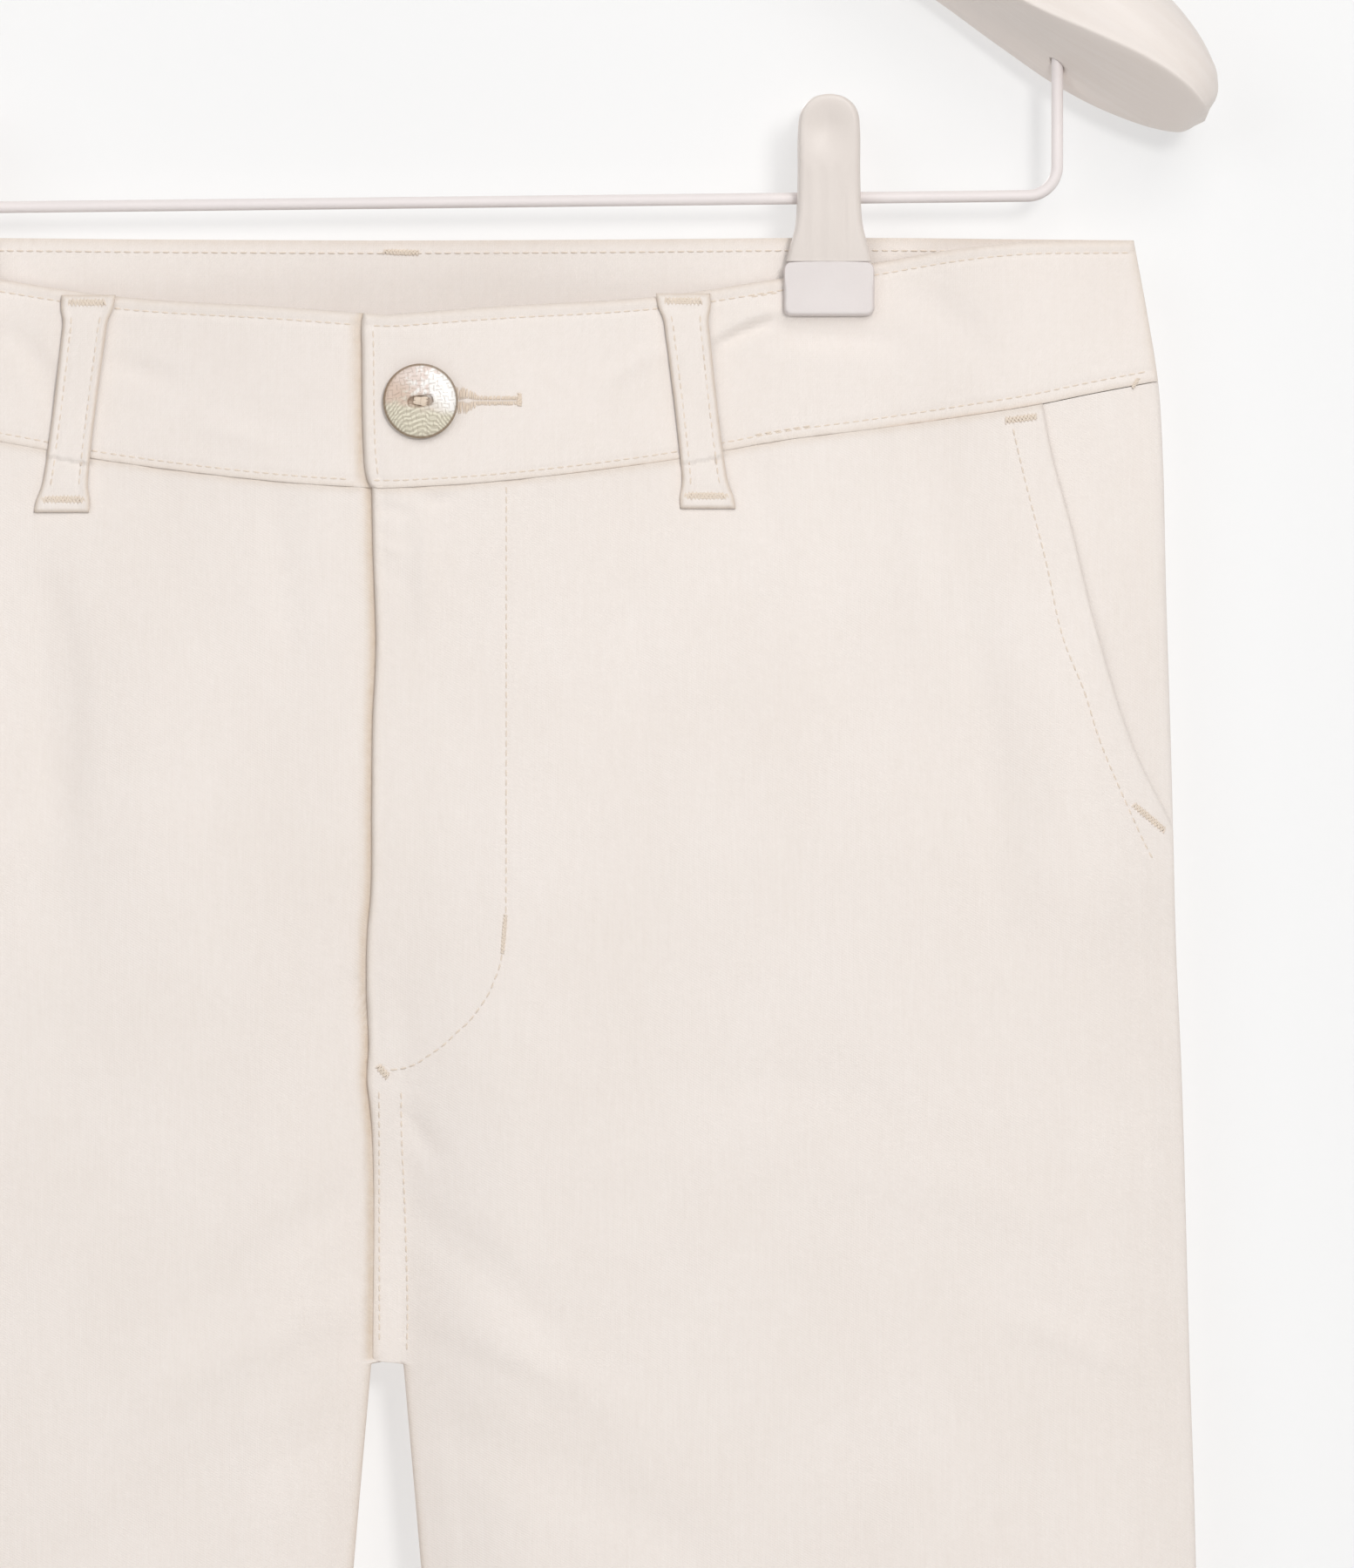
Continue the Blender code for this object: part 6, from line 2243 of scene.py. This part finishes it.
@dataclass
class Studio:
    """Pale wall and floor, soft lights and the camera."""

    wall_y: float = 0.021
    floor_z: float = -1.30
    distance: float = 5.0
    view_height: float = 0.4186
    centre: Point = (0.05, 0.0, -0.45)
    aim: Point = (0.0774, -0.006, -0.361)
    key_power: float = 33.0
    sky_power: float = 22.0
    fill_power: float = 17.0
    rear_power: float = 26.0
    world: float = 0.345

    def plane(self, name: str, points: Sequence[Point], material: Material) -> Thing:
        """A flat backdrop through four corners.

        Args:
            name: its name.
            points: the corners, in metres.
            material: its material.

        Returns:
            The stage object.
        """
        mesh = bmesh.new()
        verts = [mesh.verts.new(point) for point in points]
        mesh.faces.new(verts)
        bmesh.ops.subdivide_edges(mesh, edges=mesh.edges[:], cuts=3, use_grid_fill=True)
        data = bpy.data.meshes.new(name)
        mesh.to_mesh(data)
        mesh.free()
        thing = bpy.data.objects.new(name, data)
        thing.data.materials.append(material)
        bpy.context.scene.collection.objects.link(thing)
        return thing

    def lamp(self, name: str, spot: Point, size: float, power: float, colour: Point) -> None:
        """Add a round area light that faces the object.

        Args:
            name: its name.
            spot: where it stands.
            size: its diameter in metres.
            power: its power in watts.
            colour: its colour.
        """
        data = bpy.data.lights.new(name, "AREA")
        data.shape = "DISK"
        data.size = size
        data.energy = power
        data.color = colour
        thing = bpy.data.objects.new(name, data)
        thing.location = spot
        facing = Vector(self.centre) - Vector(spot)
        thing.rotation_euler = facing.to_track_quat("-Z", "Y").to_euler()
        bpy.context.scene.collection.objects.link(thing)

    def build(self) -> None:
        """Set up the stage."""
        wall = Backdrop("wall_paint", (0.46, 0.46, 0.46, 1.0), 0.98, True).build()
        floor = Backdrop("floor_paint", (0.66, 0.655, 0.65, 1.0), 0.0, False).build()
        y = self.wall_y
        self.plane("wall", ((-1.6, y, self.floor_z), (1.6, y, self.floor_z), (1.6, y, 0.5),
                            (-1.6, y, 0.5)), wall)
        self.plane("floor", ((-2.6, -2.6, self.floor_z), (2.6, -2.6, self.floor_z),
                             (2.6, 2.6, self.floor_z), (-2.6, 2.6, self.floor_z)), floor)
        lean = 3.0 * math.tan(math.radians(16.0))
        self.lamp("key", (0.05 + lean, -3.0, -0.45 + lean), 0.62, self.key_power,
                  (1.0, 0.985, 0.965))
        self.lamp("sky", (0.7, -2.2, 1.35), 1.5, self.sky_power, (1.0, 0.995, 0.985))
        self.lamp("fill", (-1.6, -2.6, 0.6), 2.2, self.fill_power, (0.97, 0.985, 1.0))
        self.lamp("rear", (-1.3, 2.4, 0.9), 0.7, self.rear_power, (1.0, 0.99, 0.98))
        scene = bpy.context.scene
        world = bpy.data.worlds.new("room")
        world.use_nodes = True
        air = world.node_tree.nodes["Background"]
        air.inputs["Color"].default_value = (0.98, 0.99, 1.0, 1.0)
        air.inputs["Strength"].default_value = self.world
        scene.world = world
        scene.view_settings.view_transform = "Standard"
        data = bpy.data.cameras.new("camera")
        data.lens = 36.0 * self.distance / self.view_height
        data.clip_start = 0.05
        camera = bpy.data.objects.new("camera", data)
        camera.location = (self.aim[0], self.aim[1] - self.distance, self.aim[2])
        camera.rotation_euler = (math.radians(90.0), 0.0, 0.0)
        scene.collection.objects.link(camera)
        scene.camera = camera


def finishes() -> Dict[str, Material]:
    """Make every material of the object.

    Returns:
        The materials by name.
    """
    base = (0.858, 0.795, 0.752, 1.0)
    shade = (0.80, 0.728, 0.675, 1.0)
    # Tan for worn edges and for painted shade and shadow at seams and beside the fly and the tab.
    worn_and_shaded = (0.60, 0.47, 0.34, 1.0)
    made = [
        Twill("cloth", base, shade, worn_and_shaded, 62.0),
        Twill("band_cloth", base, shade, worn_and_shaded, -28.0),
        Thread("thread", (0.85, 0.75, 0.65, 1.0), (0.77, 0.655, 0.54, 1.0)),
        Thread("thread_tan", (0.85, 0.74, 0.63, 1.0), (0.76, 0.62, 0.49, 1.0)),
        Shell("shell", (9.1, 0.0, -259.0)),
        Wood("wood"),
        Moulded("wire", (0.83, 0.77, 0.76, 1.0), (0.79, 0.73, 0.72, 1.0), 0.5, 0.5, 0.1),
        Moulded("plastic", (0.79, 0.725, 0.68, 1.0), (0.73, 0.66, 0.615, 1.0), 0.46, 0.4, 0.08),
        Moulded("rubber", (0.80, 0.745, 0.73, 1.0), (0.70, 0.645, 0.63, 1.0), 0.7, 0.5),
        Moulded("zip_teeth", (0.84, 0.79, 0.73, 1.0), (0.76, 0.70, 0.64, 1.0), 0.4, 0.3),
        Twill("zip_tape", shade, (0.74, 0.66, 0.58, 1.0), worn_and_shaded, 90.0, 0.9),
    ]
    return {finish.name: finish.build() for finish in made}


def dress(garment: Garment, shop: Workshop) -> None:
    """Build every piece of cloth with its sewing.

    Args:
        garment: the cut.
        shop: where pieces are finished.
    """
    stitching = Stitching(garment, shop)
    loops = {spec.name: BeltLoops(garment, shop).build(spec) for spec in LOOPS}
    panels = Panels(garment, shop)
    pockets = {"left": stitching.pocket(-1.0, "left"), "right": stitching.pocket(1.0, "right")}
    fly = stitching.fly()
    seat = stitching.back_seam()
    for name, side, hand in (("front_left", F, -1.0), ("front_right", F, 1.0),
                             ("back_left", B, -1.0), ("back_right", B, 1.0)):
        sewn = [stitching.hem(side, hand, name)]
        if side is F:
            sewn.append(pockets[name.split("_")[1]])
        if name == "front_right":
            sewn.append(fly)
        if name == "back_right":
            sewn.append(seat)
        panel = panels.build(name, side, hand)
    bands = Bands(garment, shop)
    front_thread = stitching.band(F)
    back_thread = stitching.band(B)
    inside_thread = stitching.inner_band()
    hole = stitching.buttonhole()
    left = bands.build("waistband_front_left", F, bands.side_edge(-1.0),
                       lambda depth: garment.underlap_x + 0.0 * depth, 112, False)
    right = bands.build("waistband_front_right", F, garment.tab_edge, bands.side_edge(1.0), 108,
                        True)
    back = bands.build("waistband_back", B, bands.side_edge(-1.0), bands.side_edge(1.0), 190,
                       False)
    for spec in LOOPS:
        size = (0.0148, 0.062 if spec.side is F else 0.055)
        0.82 * size[0] * size[1]
    layers = InnerLayers(garment, shop)
    for hand, word in ((-1.0, "left"), (1.0, "right")):
        facing = layers.facing(f"pocket_facing_{word}", hand)
    placket, shield, tape = layers.fly()
    teeth = layers.teeth()


def main() -> None:
    """Build the whole picture, piece by piece."""
    logging.basicConfig(level=logging.INFO, format="%(message)s")
    garment = Garment()
    shop = Workshop(finishes=finishes())
    dress(garment, shop)
    Button(garment, shop).build()
    hanger = Hanger(garment, shop)
    hanger.body()
    hanger.wires()
    Clips(garment, shop).build()
    Studio().build()
    LOG.info("%d pieces", shop.count)


if __name__ == "__main__":
    main()
